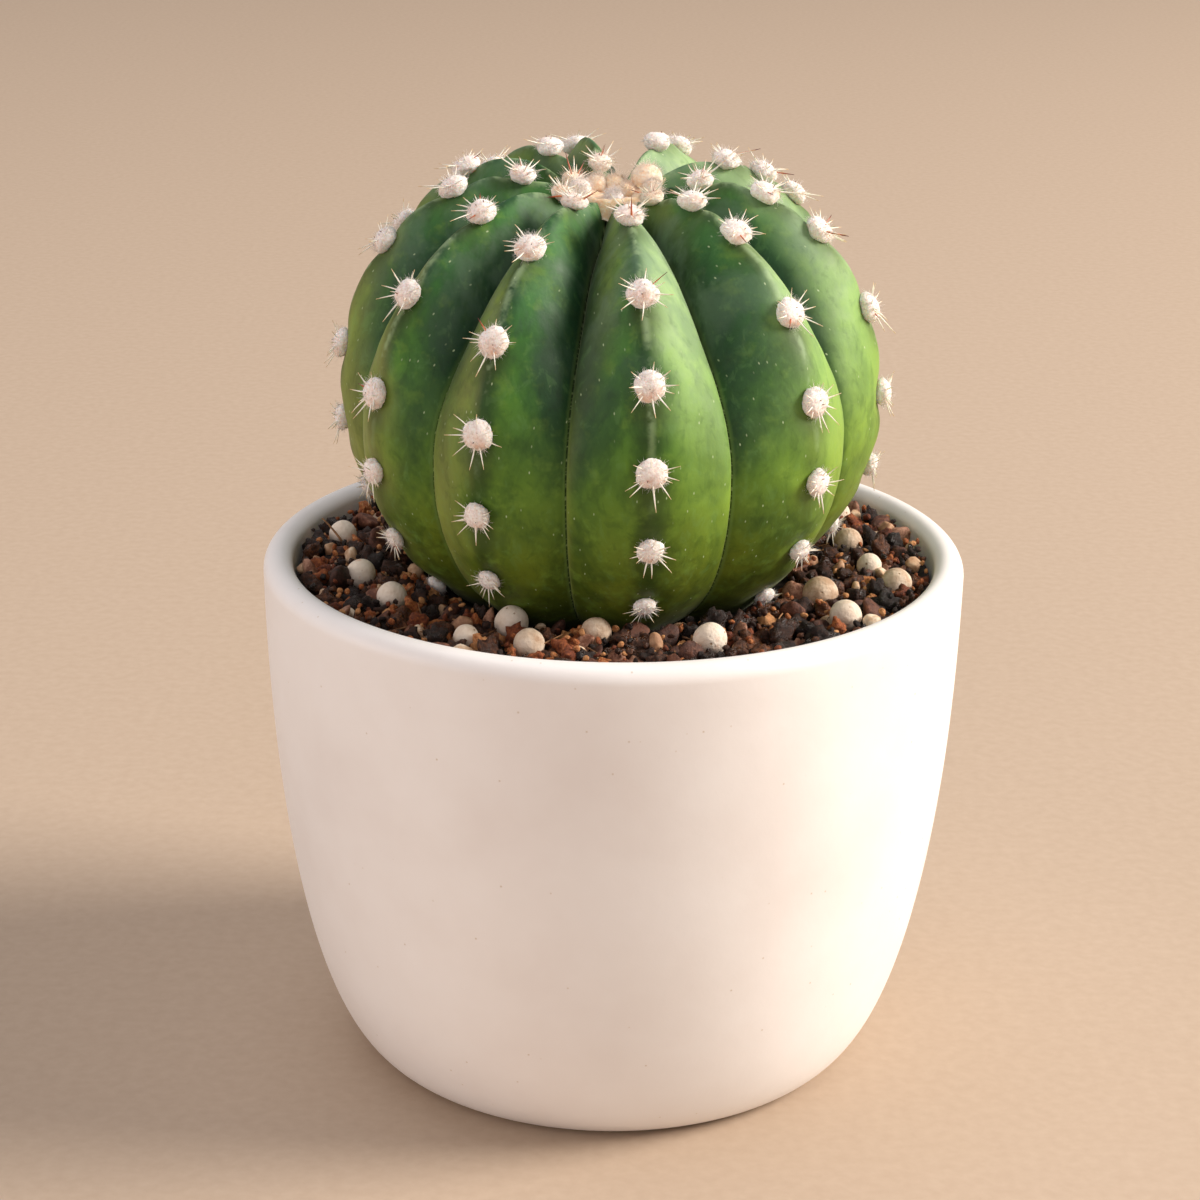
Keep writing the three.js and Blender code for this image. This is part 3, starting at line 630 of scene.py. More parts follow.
def unit_ball(detail):
    ball = bmesh.new()
    bmesh.ops.create_icosphere(ball, subdivisions=detail, radius=1.0)
    corners = np.array([vertex.co for vertex in ball.verts])
    triangles = np.array([[vertex.index for vertex in face.verts] for face in ball.faces])
    ball.free()
    return corners, triangles


# Many small shapes as one mesh: shapes is (count, corners, 3), and all have the same triangles.
def joined(shapes, triangles):
    count, corners = shapes.shape[:2]
    offsets = np.arange(count)[:, None, None] * corners
    return shapes.reshape(-1, 3), (triangles[None] + offsets).reshape(-1, triangles.shape[1])


pad_place, pad_facing, pad_down, pad_size, pad_length = (
    np.array([areole[key] for areole in AREOLES]) for key in ("place", "facing", "down", "size", "length"))
pad_side = np.cross(pad_facing, pad_down)
pad_youth = smooth(pad_length, 44, 57)
pad_middle = pad_place + pad_facing * WOOL_STAND


def halved(quads):
    return np.concatenate([quads[:, [0, 1, 2]], quads[:, [0, 2, 3]]])


# Tapered hairs or spines: each starts at a point, runs along a direction and bends as it goes. For each
# corner it also gives how far along its needle it is, and which needle that is.
def needles(starts, directions, lengths, radii, bends, sides, rings, tip=0.12):
    share = np.linspace(0, 1, rings)
    sideways = unit(np.cross(directions, directions[:, [1, 2, 0]] + [0.3, 0.1, 0.7]))
    upright = np.cross(directions, sideways)
    angle = np.linspace(0, 2 * np.pi, sides, endpoint=False)
    middle = (starts[:, None] + (lengths[:, None] * share)[:, :, None] * directions[:, None]
              + (lengths[:, None] * share ** 2)[:, :, None] * bends[:, None])
    girth = radii[:, None] * (1 - (1 - tip) * share ** 1.3)
    circle = np.cos(angle)[:, None] * sideways[:, None, :] + np.sin(angle)[:, None] * upright[:, None, :]
    shapes = middle[:, :, None] + girth[:, :, None, None] * circle[:, None]
    ends = np.stack([middle[:, 0], middle[:, -1] + directions * radii[:, None] * 0.5], 1)
    shapes = np.concatenate([shapes.reshape(len(starts), -1, 3), ends], 1)
    fans = end_fans(rings, sides, rings * sides, rings * sides + 1)
    corners, faces = joined(shapes, np.concatenate([halved(ring_faces(rings, sides)), fans]))
    along = np.tile(np.concatenate([np.repeat(share, sides), [0, 1]]), len(starts))
    return corners, faces, along, np.repeat(np.arange(len(starts)), shapes.shape[1])


wool, node, where = start_finish("felted_areole_wool")
youth = node("Attribute", attribute_name="youth").outputs["Fac"]
underside = node("Attribute", attribute_name="underside").outputs["Fac"]
felt = node("TexNoise", {"Vector": where, "Scale": 1 / (FELT_GRAIN * MM), "Detail": 4.0, "Roughness": 0.7})
tuft = node("TexNoise", {"Vector": where, "Scale": 1 / (TUFT_GRAIN * MM), "Detail": 2.0})
grown_wool = node("ValToRGB", [felt], [(0.32, "#e0cdc2"), (0.5, "#f7ece5"), (0.68, "#fffcf9")])
young_wool = node("ValToRGB", [felt], [(0.32, "#f8cd9e"), (0.5, "#ffe0bb"), (0.68, "#fff3e2")])
wool_colour = node("Mix", {0: youth, 6: grown_wool, 7: young_wool}, data_type="RGBA")
tinge_patch = node("MapRange", [tuft, 0.45, 0.65, 0.1, 0.55])
tinge = node("Math", [tinge_patch, underside], operation="MULTIPLY")
tinged = node("Mix", {0: tinge, 6: wool_colour.outputs[2], 7: "#e0a06c"}, data_type="RGBA")
felt_bump = node("Bump", {"Height": felt, "Distance": 0.12 * MM, "Strength": 0.8})
end_finish(node, {
    "Base Color": tinged.outputs[2], "Roughness": 0.95, "Normal": felt_bump, "Sheen Weight": 0.25,
    "Sheen Roughness": 0.5, "Subsurface Weight": 0.5, "Subsurface Radius": (1.0, 0.75, 0.6),
    "Subsurface Scale": 1.2 * MM})

ball, ball_faces = unit_ball(4)


# Balls swelled by noises, each given by its depth, size and seed.
def lumpy_balls(sizes, flatness, shift, lumps):
    balls = ball[None] * [1, 1, flatness] * sizes[:, None, None]
    swell = sum((depth * noise_at(balls + shift, size, seed) for depth, size, seed in lumps), 1)
    return balls * swell[:, :, None]


pad_frames = np.stack([pad_side, -pad_down, pad_facing], 1)
pad_seeds = np.arange(len(AREOLES))[:, None, None] * PAD_SEED
pads = lumpy_balls(pad_size, WOOL_FLATNESS, pad_seeds, PAD_LUMPS)
pads = np.einsum("nmk,nkj->nmj", pads, pad_frames) + pad_middle[:, None]
pad_corners, pad_faces = joined(pads, ball_faces)
pad_marks = {
    "youth": np.repeat(pad_youth, len(ball)),
    "underside": np.tile(smooth(-ball[:, 1], -0.2, 0.8) * smooth(ball[:, 2], 0, 0.5), len(AREOLES)),
}
pad_piece = new_piece("areole_wool", on_plant(pad_corners), [pad_faces], wool, pad_marks)
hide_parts("cactus")
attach(pad_piece, "root")

draw = np.random.default_rng(11)
hair_count = HAIRS_PER_PAD[0] + (HAIRS_PER_PAD[1] - HAIRS_PER_PAD[0]) * smooth(pad_length, -5, 25)
hair_pad = np.repeat(np.arange(len(AREOLES)), hair_count.astype(int))
hair_way = unit(draw.normal(size=(len(hair_pad), 3)))
hair_way[:, 2] = np.abs(hair_way[:, 2]) * 0.8 - 0.05
hair_way = unit(hair_way)
hair_root = hair_way * [HAIR_ROOTING, HAIR_ROOTING, HAIR_ROOTING * WOOL_FLATNESS]
hair_way = np.einsum("nk,nkj->nj", hair_way, pad_frames[hair_pad])
hair_root = np.einsum("nk,nkj->nj", hair_root, pad_frames[hair_pad])
hair_start = pad_middle[hair_pad] + hair_root * pad_size[hair_pad, None]
hair_lean = unit(hair_way + 0.5 * draw.normal(size=hair_way.shape))
hair_length = draw.uniform(*HAIR_LENGTHS, len(hair_pad)) * (1 + 0.5 * pad_youth[hair_pad])
hair_end = on_plant(hair_start + hair_lean * hair_length[:, None])[:, 2]
hair_length[hair_end > TOP_LEVEL] *= 0.3
hair_bend = 0.25 * draw.normal(size=hair_way.shape)
hair_corners, hair_faces, _, hair_of = needles(
    hair_start, hair_lean, hair_length, np.full(len(hair_pad), HAIR_RADIUS), hair_bend, 3, 2)
hair_piece = new_piece("areole_hairs", on_plant(hair_corners), [hair_faces], wool, {
    "youth": pad_youth[hair_pad][hair_of], "underside": np.zeros(len(hair_corners))})
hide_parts("cactus")
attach(hair_piece, "root")


# Spines: short stiff needles out of the rim of each pad, the longest one pointing down the rib. They
# are cream with a tan tip, a few are rust red, and each pad has one or two brown stubs in its middle.
SPINE_LENGTH = 4.9
SPINE_RADIUS = 0.12
SPINE_TURNS = (0, 38, -40, 83, -85, 124, -127, 176, 60, -63, 104, -106)
SPINE_SHARES = (1.0, 0.88, 0.86, 0.84, 0.86, 0.74, 0.76, 0.66, 0.62, 0.64, 0.6, 0.62)
LOW_SPINE_TURNS = (18, -20, 148, -150)
LOW_SPINE_SHARES = (0.8, 0.82, 0.62, 0.6)
SPINE_SCATTER = 7
SPINE_RISE = 16
RISE_SCATTER = 8
YOUNG_RISE = 26
RUST_CHANCE = 0.035
YOUNG_RUST_CHANCE = 0.06
SPINE_STREAK = 0.6
STUB_RADIUS = 0.16
MIX_LEVEL = 73.2


# Spines from rows of start, direction, length, radius, redness and bend, with marks for the finish.
def grow_spines(rows, tip=0.12):
    starts, ways, lengths, radii, rusts, bends = map(np.array, zip(*rows))
    corners, faces, along, of_spine = needles(starts, ways, lengths, radii, bends, 6, 5, tip)
    return on_plant(corners), faces, along, rusts[of_spine]


spine_finish, node, where = start_finish("horny_spine")
tip_mark = node("Attribute", attribute_name="tip").outputs["Fac"]
rust_mark = node("Attribute", attribute_name="rust").outputs["Fac"]
streak = node("TexNoise", {"Vector": where, "Scale": 1 / (SPINE_STREAK * MM), "Detail": 2.0})
spine_place = node("Math", [streak, 0.2, tip_mark], operation="MULTIPLY_ADD")
pale_spine = node("ValToRGB", [spine_place], [
    (0.1, "#f7efd9"), (0.55, "#fffdf2"), (0.9, "#f8eed6"), (1.0, "#dfc094")])
rust_spine = node("ValToRGB", [spine_place], [(0.1, "#d98a52"), (0.6, "#b5532a"), (1.0, "#4d1512")])
spine_colour = node("Mix", {0: rust_mark, 6: pale_spine, 7: rust_spine}, data_type="RGBA")
spine_bump = node("Bump", {"Height": streak, "Distance": 0.03 * MM})
end_finish(node, {
    "Base Color": spine_colour.outputs[2], "Roughness": 0.42, "IOR": 1.54, "Normal": spine_bump,
    "Subsurface Weight": 0.1, "Subsurface Radius": (1.0, 0.8, 0.5), "Subsurface Scale": 0.3 * MM})

draw = np.random.default_rng(29)
spine_rows = []
for index, areole in enumerate(AREOLES):
    low = smooth(-areole["length"], 4, 22)
    turns = list(zip(SPINE_TURNS, SPINE_SHARES))
    if low > 0.4:
        turns += list(zip(LOW_SPINE_TURNS, LOW_SPINE_SHARES))
    for turn, share in turns:
        angle = math.radians(turn + draw.normal() * SPINE_SCATTER)
        rise = math.radians(SPINE_RISE + RISE_SCATTER * abs(draw.normal()) + YOUNG_RISE * pad_youth[index])
        flat_way = pad_down[index] * math.cos(angle) + pad_side[index] * math.sin(angle)
        way = flat_way * math.cos(rise) + pad_facing[index] * math.sin(rise)
        length = SPINE_LENGTH * share * draw.uniform(0.86, 1.08) * areole["size"] / WOOL_RADIUS
        start = pad_place[index] + pad_facing[index] * 0.5 + way * areole["size"] * 0.5
        girth = SPINE_RADIUS * (1 - 0.3 * low) * draw.uniform(0.8, 1.1) * (1.15 if turn == 0 else 1.0)
        rust_chance = RUST_CHANCE + YOUNG_RUST_CHANCE * pad_youth[index]
        rust = 1.0 if draw.random() < rust_chance else 0.05 * draw.random()
        length -= areole["size"] * 0.5
        end_level = on_plant(start + way * (length + SPINE_RADIUS))[2]
        if MIX_LEVEL + 1.4 < end_level < TOP_LEVEL:
            spine_rows.append((start, way, length, girth, rust, draw.normal(size=3) * 0.06))
    for stub in range(1 + (draw.random() < 0.5)):
        start = pad_middle[index] + pad_side[index] * draw.normal() * 0.25 + pad_down[index] * (0.5 - stub)
        way = unit(pad_facing[index] + 0.25 * draw.normal(size=3))
        spine_rows.append((start, way, areole["size"] * WOOL_FLATNESS + 0.2, STUB_RADIUS, 0.9, np.zeros(3)))
spine_corners, spine_faces, spine_tips, spine_rusts = grow_spines(spine_rows, 0.3)
spine_piece = new_piece("spines", spine_corners, [spine_faces], spine_finish, {
    "tip": spine_tips, "rust": spine_rusts})
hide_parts("cactus")
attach(spine_piece, "root")


# Crown: the growing point, a hollow packed with soft wool from which the youngest pads have just
# parted. Its tufts are pale peach, and dark red-brown spines stand up through it. A tuft is given by
# its place to the right of the growing point and behind it, its radius and how peach it is.
CROWN_TUFTS = np.array([
    (-2.1, 2.4, 1.6, 0.7), (0.4, 2.6, 1.7, 1.0), (4.7, 2.8, 2.15, 0.75), (5.4, -1.6, 1.35, 0.5),
    (0.2, -2.9, 1.4, 0.0), (-4.4, -0.8, 1.6, 0.1), (1.6, 0.2, 1.5, 0.9)])
# The dark spines that stand in the crown: the rib and length of the pad they grow from, where on it to
# the side and down the rib, the way they point in the plant's own frame, their length and how red.
CROWN_SPINES = [
    (0, 41.4, 0.0, 1.5, (-0.02, -0.12, 1.0), 3.0, 1.0),
    (10, 46, 1.5, 0.3, (0.86, 0.1, 0.5), 2.3, 1.0),
    (1, 42.6, -0.6, -1.3, (-0.95, 0.25, 0.15), 2.6, 0.55),
    (10, 46, -1.4, 1.0, (-0.95, -0.2, -0.05), 2.1, 1.0),
]
TUFT_FLATNESS = 0.86
TUFT_LUMPS = [(0.08, 1.2, 0), (0.028, 0.4, 0)]
CROWN_MOUND = 6.2
MOUND_SIDES = 72
MOUND_RINGS = 26
WISPS_PER_TUFT = 700
WISP_LENGTHS = (0.4, 1.0)
WISP_RADIUS = 0.03
YOUNG_SPINES = 2
YOUNG_SPINE_LENGTHS = (1.4, 2.2)
YOUNG_SPINE_RADIUS = 0.1
DARK_SPINE_RADIUS = 0.15
CROWN_DISHING = 0.05
MOUND_LIFT = 0.6


# Places at an angle from the front, at a distance from the axis and at a level.
def around(angle, reach, level):
    return np.stack(np.broadcast_arrays(reach * np.sin(angle), -reach * np.cos(angle), level), -1)


crown_spot = skin_point(0, 1.0, 0)
draw = np.random.default_rng(5)
tuft_reach = np.hypot(CROWN_TUFTS[:, 0], CROWN_TUFTS[:, 1])
tuft_level = 0.7 + CROWN_DISHING * tuft_reach ** 2
tuft_place = crown_spot + np.stack([CROWN_TUFTS[:, 0], CROWN_TUFTS[:, 1], tuft_level], -1)
tuft_size = CROWN_TUFTS[:, 2]
tufts = lumpy_balls(tuft_size, TUFT_FLATNESS, tuft_place[:, None] * 9, TUFT_LUMPS) + tuft_place[:, None]
tuft_corners, tuft_faces = joined(tufts, ball_faces)
mound_reach = np.linspace(0, CROWN_MOUND, MOUND_RINGS + 1)[1:, None]
mound_turn = np.linspace(0, 2 * np.pi, MOUND_SIDES, endpoint=False)
mound_drop = 3.4 * smooth(mound_reach, 4.4, CROWN_MOUND)
mound_level = MOUND_LIFT + CROWN_DISHING * mound_reach ** 2 - mound_drop
mound = around(mound_turn, mound_reach, mound_level).reshape(-1, 3)
mound[:, 2] += 0.4 * noise_at(mound, 1.3) + 0.15 * noise_at(mound, 0.5)
mound = crown_spot + np.concatenate([mound, [[0, 0, MOUND_LIFT], [0, 0, -2]]])
mound_fans = end_fans(MOUND_RINGS, MOUND_SIDES, len(mound) - 2, len(mound) - 1)[:, [0, 2, 1]]
mound_faces = np.concatenate([halved(ring_faces(MOUND_RINGS, MOUND_SIDES)), mound_fans])
crown_piece = new_piece(
    "crown_wool", on_plant(np.concatenate([tuft_corners, mound])),
    [np.concatenate([tuft_faces, mound_faces + len(tuft_corners)])], wool, {
        "youth": np.concatenate([np.repeat(CROWN_TUFTS[:, 3], len(ball)), np.full(len(mound), 1.0)]),
        "underside": np.concatenate([
            np.outer(CROWN_TUFTS[:, 3], smooth(-ball[:, 2], -0.3, 0.6)).ravel(), np.full(len(mound), 0.6)])})
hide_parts("cactus")
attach(crown_piece, "root")

wisp_tuft = np.repeat(np.arange(len(CROWN_TUFTS)), WISPS_PER_TUFT)
wisp_way = unit(draw.normal(size=(len(wisp_tuft), 3)) * [1, 1, 0.8] + [0, 0, 0.5])
wisp_start = tuft_place[wisp_tuft] + wisp_way * tuft_size[wisp_tuft, None] * 0.85
wisp_lean = unit(wisp_way + 0.5 * draw.normal(size=wisp_way.shape))
wisp_length = draw.uniform(*WISP_LENGTHS, len(wisp_tuft))
wisp_bend = 0.3 * draw.normal(size=wisp_way.shape)
wisp_corners, wisp_faces, _, wisp_of = needles(
    wisp_start, wisp_lean, wisp_length, np.full(len(wisp_tuft), WISP_RADIUS), wisp_bend, 3, 2)
wisp_piece = new_piece("crown_wisps", on_plant(wisp_corners), [wisp_faces], wool, {
    "youth": (CROWN_TUFTS[wisp_tuft, 3] * 0.6)[wisp_of], "underside": np.zeros(len(wisp_corners))})
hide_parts("cactus")
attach(wisp_piece, "root")

crown_rows = []
for index, areole in enumerate(AREOLES):
    if areole["youngest"]:
        for _ in range(YOUNG_SPINES):
            downwards = 0.9 * pad_down[index] * draw.uniform(-0.2, 1)
            way = unit(pad_facing[index] + downwards + 0.3 * draw.normal(size=3))
            start = pad_middle[index] + way * areole["size"] * 0.4
            length = draw.uniform(*YOUNG_SPINE_LENGTHS)
            if on_plant(start + way * (length + 0.2))[2] < TOP_LEVEL:
                red = draw.uniform(0.3, 1.0)
                bend = 0.08 * draw.normal(size=3)
                crown_rows.append((start, way, length, YOUNG_SPINE_RADIUS, red, bend))
for rib, length, aside, downwards, way, span, red in CROWN_SPINES:
    pad = next(i for i, a in enumerate(AREOLES) if a["rib"] == rib and a["length"] == length)
    start = pad_middle[pad] + pad_side[pad] * aside + pad_down[pad] * downwards + pad_facing[pad] * 0.6
    crown_rows.append((start, unit(np.array(way)), span, DARK_SPINE_RADIUS, red, np.zeros(3)))
crown_corners, crown_faces, crown_tips, crown_rusts = grow_spines(crown_rows)
crown_spines = new_piece("crown_spines", crown_corners, [crown_faces], spine_finish, {
    "tip": crown_tips * 0.9 + 0.1, "rust": crown_rusts})
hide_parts("cactus")
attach(crown_spines, "root")


# Mix bed: peaty compost packed in the pot round the root. It is one body with a hollow where the
# globe sits, dark and damp, and the loose grains lie on it.
CLEARANCE = 0.3
BED_LEVEL = 72.2
BED_SIDES = 240
BED_RINGS = 34
HOLLOW_RINGS = 14
HOLE_RINGS = 8
HOLLOW_END = 0.985
WALL_STEPS_INSIDE = 24
BED_RELIEF = 0.7
ROOM = CLEARANCE + 0.15
compost = grainy_finish("damp_compost", grain=0.9, detail=5, harshness=0.7, depth=0.5, roughness=0.85, ramp=[
    (0.3, "#0c0603"), (0.55, "#1d0f08"), (0.75, "#3e2416")])


# Where the hollow for the globe runs, a little outside the skin.
def hollow_at(angle, station):
    radius, height = crest_point(station)
    out, up = crest_normal(station)
    return on_plant(around(angle, radius + out * ROOM, height + up * ROOM))


bed_angle = np.radians(np.linspace(-180, 180, BED_SIDES, endpoint=False))
bed_wall = wall_curve(WALL_STEPS_INSIDE, WALL + CLEARANCE)
bed_wall = bed_wall[(bed_wall[:, 1] > FLOOR + 2) & (bed_wall[:, 1] < BED_LEVEL - 1)]
bed_wall = np.concatenate([[[2, FLOOR + CLEARANCE]], [[bed_wall[0, 0] - 6, FLOOR + CLEARANCE]], bed_wall])
bed_rings = [around(bed_angle, radius, level) for radius, level in bed_wall]
under = crest_stations[:CREST_STEPS + 1]
hollow_edge = np.array([np.interp(BED_LEVEL, hollow_at(angle, under)[:, 2], under) for angle in bed_angle])
wall_ring = bed_rings[-1] * [1, 1, 0] + [0, 0, BED_LEVEL]
inner_ring = hollow_at(bed_angle, hollow_edge)
for step in np.linspace(0.01, 1, BED_RINGS):
    ring = wall_ring * (1 - step) + inner_ring * step
    lumps = noise_at(ring, 2.6) + 0.5 * noise_at(ring, 1.1, 4.0)
    ring[:, 2] += BED_RELIEF * lumps * math.sin(math.pi * step) ** 0.5
    bed_rings.append(ring)
for step in np.linspace(0.1, 0.97, HOLLOW_RINGS):
    bed_rings.append(hollow_at(bed_angle, hollow_edge * (1 - step) - HOLLOW_END * step))
for depth in np.linspace(0, 1, HOLE_RINGS):
    level = ROOT_TOP - 3.5 + (ROOT_TIP + 3 - ROOT_TOP) * depth
    bed_rings.append(on_plant(around(bed_angle, root_width(level) + ROOM, level)))
bed_corners = np.concatenate([*bed_rings, [[0, 0, FLOOR + CLEARANCE]], on_plant([[0, 0, ROOT_TIP - ROOM]])])
bed_caps = end_fans(len(bed_rings), BED_SIDES, len(bed_corners) - 2, len(bed_corners) - 1)
bed = new_piece("mix_bed", bed_corners, [ring_faces(len(bed_rings), BED_SIDES), bed_caps], compost)
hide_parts("potting_mix")
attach(bed, "root")


# Pellets: round cream pellets of expanded clay mixed in for drainage, 3.4 to 5 mm across, matt and
# chalky with small pits, some stained green or pink by the compost. Those at the front have their
# own places, and the others are drawn at random behind.
FRONT_PELLETS = [(-59, 35.5, 4.2), (-30, 38.8, 3.4), (-26, 31, 4.6), (-17, 37.6, 4.2), (-4, 31.5, 4.2),
                 (21, 36, 4.6), (53, 39.5, 4.4), (62, 32.5, 5), (-76, 36.6, 4.2), (-102, 40.6, 4),
                 (75, 41, 4.4), (85, 36.6, 3.6)]
SPARE_PELLETS = 9
PELLET_DIAMETER = 4.3
PELLET_STAND = 0.9
PELLET_LUMPS = [(0.045, 2.4, 0), (0.018, 0.9, 0)]
SPARE_BEARINGS = (100, 250)
SPARE_REACH = (31, 42)
SPARE_SCATTER = 8
STAIN_SIZE = 2.2
CHALK_GRAIN = 0.45
PIT_SPACING = 1.0


# The random draws are the ones that the solids have, so the pellets lie in the same places.
def spare_pellets():
    state = 23
    draws = []
    for _ in range(3 * SPARE_PELLETS):
        state = (state * 1664525 + 1013904223) % 2 ** 32
        draws.append(state / 2 ** 32)
    first, last = SPARE_BEARINGS
    near, far = SPARE_REACH
    return [(first + i * (last - first) / SPARE_PELLETS + draws[3 * i] * SPARE_SCATTER,
             near + draws[3 * i + 1] * (far - near),
             PELLET_DIAMETER * (0.8 + 0.3 * draws[3 * i + 2])) for i in range(SPARE_PELLETS)]


chalky, node, where = start_finish("chalky_clay_pellet")
tone_mark = node("Attribute", attribute_name="tone").outputs["Fac"]
stain = node("TexNoise", {"Vector": where, "Scale": 1 / (STAIN_SIZE * MM), "Detail": 4.0, "Roughness": 0.65})
chalk = node("TexNoise", {"Vector": where, "Scale": 1 / (CHALK_GRAIN * MM), "Detail": 3.0})
stain_place = node("Math", [tone_mark, 0.28, stain], operation="MULTIPLY_ADD")
pellet_colour = node("ValToRGB", [stain_place], [
    (0.3, "#b7977b"), (0.45, "#d3bba2"), (0.62, "#e5d3bf"), (0.82, "#f0e2d1"), (1.0, "#e0b498")])
pit_cells = node("TexVoronoi", {"Vector": where, "Scale": 1 / (PIT_SPACING * MM)})
pit_dot = node("MapRange", [pit_cells, 0.06, 0.24, 1.0, 0.0], interpolation_type="SMOOTHSTEP")
pit_pick = node("SeparateColor", {"Color": pit_cells.outputs["Color"]})
pit_kept = node("Math", [pit_pick, 0.72], operation="GREATER_THAN")
pits = node("Math", [pit_dot, pit_kept], operation="MULTIPLY")
pitted = node("Mix", {0: pits, 6: pellet_colour, 7: "#9c7a55"}, data_type="RGBA")
pit_depth = node("Math", [pits, -0.6, chalk], operation="MULTIPLY_ADD")
chalk_bump = node("Bump", {"Height": pit_depth, "Distance": 0.15 * MM})
end_finish(node, {"Base Color": pitted.outputs[2], "Roughness": 0.88, "Normal": chalk_bump})

pellet_list = np.array(FRONT_PELLETS + spare_pellets())
pellet_size = pellet_list[:, 2] / 2
pellet_place = around(np.radians(pellet_list[:, 0]), pellet_list[:, 1], MIX_LEVEL + PELLET_STAND)
pellet_shapes = lumpy_balls(pellet_size, 1, pellet_place[:, None] * 3, PELLET_LUMPS)
pellet_corners, pellet_faces = joined(pellet_shapes + pellet_place[:, None], ball_faces)
pellet_tone = np.random.default_rng(13).uniform(-0.4, 1, len(pellet_list))
pellets = new_piece("clay_pellets", pellet_corners, [pellet_faces], chalky, {
    "tone": np.repeat(pellet_tone, len(ball))})
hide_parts("potting_mix")
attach(pellets, "root")


# Grains: crumbs of humus, fired clay and stone chips lie on the bed between the pellets, packed so
# that they touch. They keep clear of the wall and of the globe's underside.
# How many there are of each kind, and their smallest and largest radius.
GRAIN_KINDS = {
    "humus": (300, 1.1, 2.3),
    "bark": (120, 1.0, 1.9),
    "clay": (170, 0.8, 1.7),
    "chips": (110, 0.7, 1.4),
    "fines": (700, 0.35, 0.7),
}
TOUCHING = 0.66
PELLET_TOUCHING = 0.9
INNER_REACH = 21
TRIES = 40
GRAIN_LIFTS = (-0.7, 1.2)
FINE_RADIUS = 0.7
FINE_LIFT = 0.9


def globe_gap(place):
    x, y, z = place - BODY_PLACE
    height = -y * math.sin(LEAN) + z * math.cos(LEAN)
    level = y * math.cos(LEAN) + z * math.sin(LEAN)
    return math.hypot(x, level) - np.interp(height, under_height, under_radius)


under_radius, under_height = crest_point(under)


def lay_grains():
    draw = np.random.default_rng(71)
    wanted = [(draw.uniform(low, high), kind) for kind, (count, low, high) in GRAIN_KINDS.items()
              for _ in range(count)]
    wanted.sort(key=lambda grain: -grain[0])
    laid = {kind: [] for kind in GRAIN_KINDS}
    places = [*pellet_place]
    sizes = [*pellet_size]
    nearness = [PELLET_TOUCHING] * len(places)
    for size, kind in wanted:
        for _ in range(TRIES):
            angle = draw.uniform(0, 2 * math.pi)
            distance = math.sqrt(draw.uniform(INNER_REACH ** 2, (RIM_RADIUS - WALL) ** 2))
            if distance > RIM_RADIUS - WALL - CLEARANCE - size * 1.05:
                continue
            lift = draw.uniform(*GRAIN_LIFTS) + (FINE_LIFT if size < FINE_RADIUS else 0.0)
            place = around(angle, distance, BED_LEVEL + 0.5 + lift)
            if globe_gap(place) < size * 1.3 + CLEARANCE:
                continue
            gaps = np.linalg.norm(np.array(places) - place, axis=1)
            if np.all(gaps > np.array(nearness) * (np.array(sizes) + size)):
                places.append(place)
                sizes.append(size)
                nearness.append(TOUCHING)
                laid[kind].append((*place, size))
                break
    return {kind: np.array(rows) for kind, rows in laid.items()}


def random_turns(draw, count):
    first = unit(draw.normal(size=(count, 3)))
    second = unit(np.cross(first, draw.normal(size=(count, 3))))
    return np.stack([first, second, np.cross(first, second)], 1)


# Stones with planes knocked off: the more cuts, the rounder. worn is how soft the edges are.
def broken_stones(rows, directions, cuts, worn, slimness, seed):
    draw = np.random.default_rng(seed)
    normals = unit(draw.normal(size=(len(rows), cuts, 3)))
    offsets = draw.uniform(0.5, 0.95, (len(rows), 1, cuts))
    facing = np.maximum(np.einsum("md,ncd->nmc", directions, normals), 0.05)
    radius = (((facing / offsets) ** worn).sum(-1) + 1) ** (-1 / worn)
    stretch = draw.uniform(0.75, 1.15, (len(rows), 1, 3)) * [1 + slimness, 1, 1 - slimness]
    shapes = directions[None] * (radius * 1.15)[:, :, None] * stretch
    return roughened(shapes, rows, 0.12, draw)


# Crumbs grown together out of smaller lumps.
def lumpy_crumbs(rows, directions, lumps, seed):
    draw = np.random.default_rng(seed)
    centres = unit(draw.normal(size=(len(rows), lumps, 3)))
    facing = np.einsum("md,ncd->nmc", directions, centres)
    radius = 0.62 + 0.5 * np.exp((facing - 1) / 0.09).max(-1)
    stretch = draw.uniform(0.7, 1.25, (len(rows), 1, 3))
    return roughened(directions[None] * radius[:, :, None] * stretch, rows, 0.26, draw)


def roughened(shapes, rows, roughness, draw):
    spots = shapes * rows[:, None, 3:] + rows[:, None, :3]
    rough = noise_at(spots, 0.9) + 0.6 * noise_at(spots, 0.4, 2.2)
    shapes = shapes * (1 + roughness * rough)[:, :, None] * rows[:, None, 3:]
    return np.einsum("nmk,nkj->nmj", shapes, random_turns(draw, len(rows))) + rows[:, None, :3]


grains = lay_grains()
middle_ball, middle_faces = unit_ball(3)
coarse_ball, coarse_faces = unit_ball(2)


def grain_piece(name, shapes, faces, finish, seed):
    corners, triangles = joined(shapes, faces)
    tones = np.random.default_rng(seed).uniform(0, 1, len(shapes))
    piece = new_piece(name, corners, [triangles], finish, {"tone": np.repeat(tones, shapes.shape[1])})
    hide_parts("potting_mix")
    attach(piece, "root")
    return piece


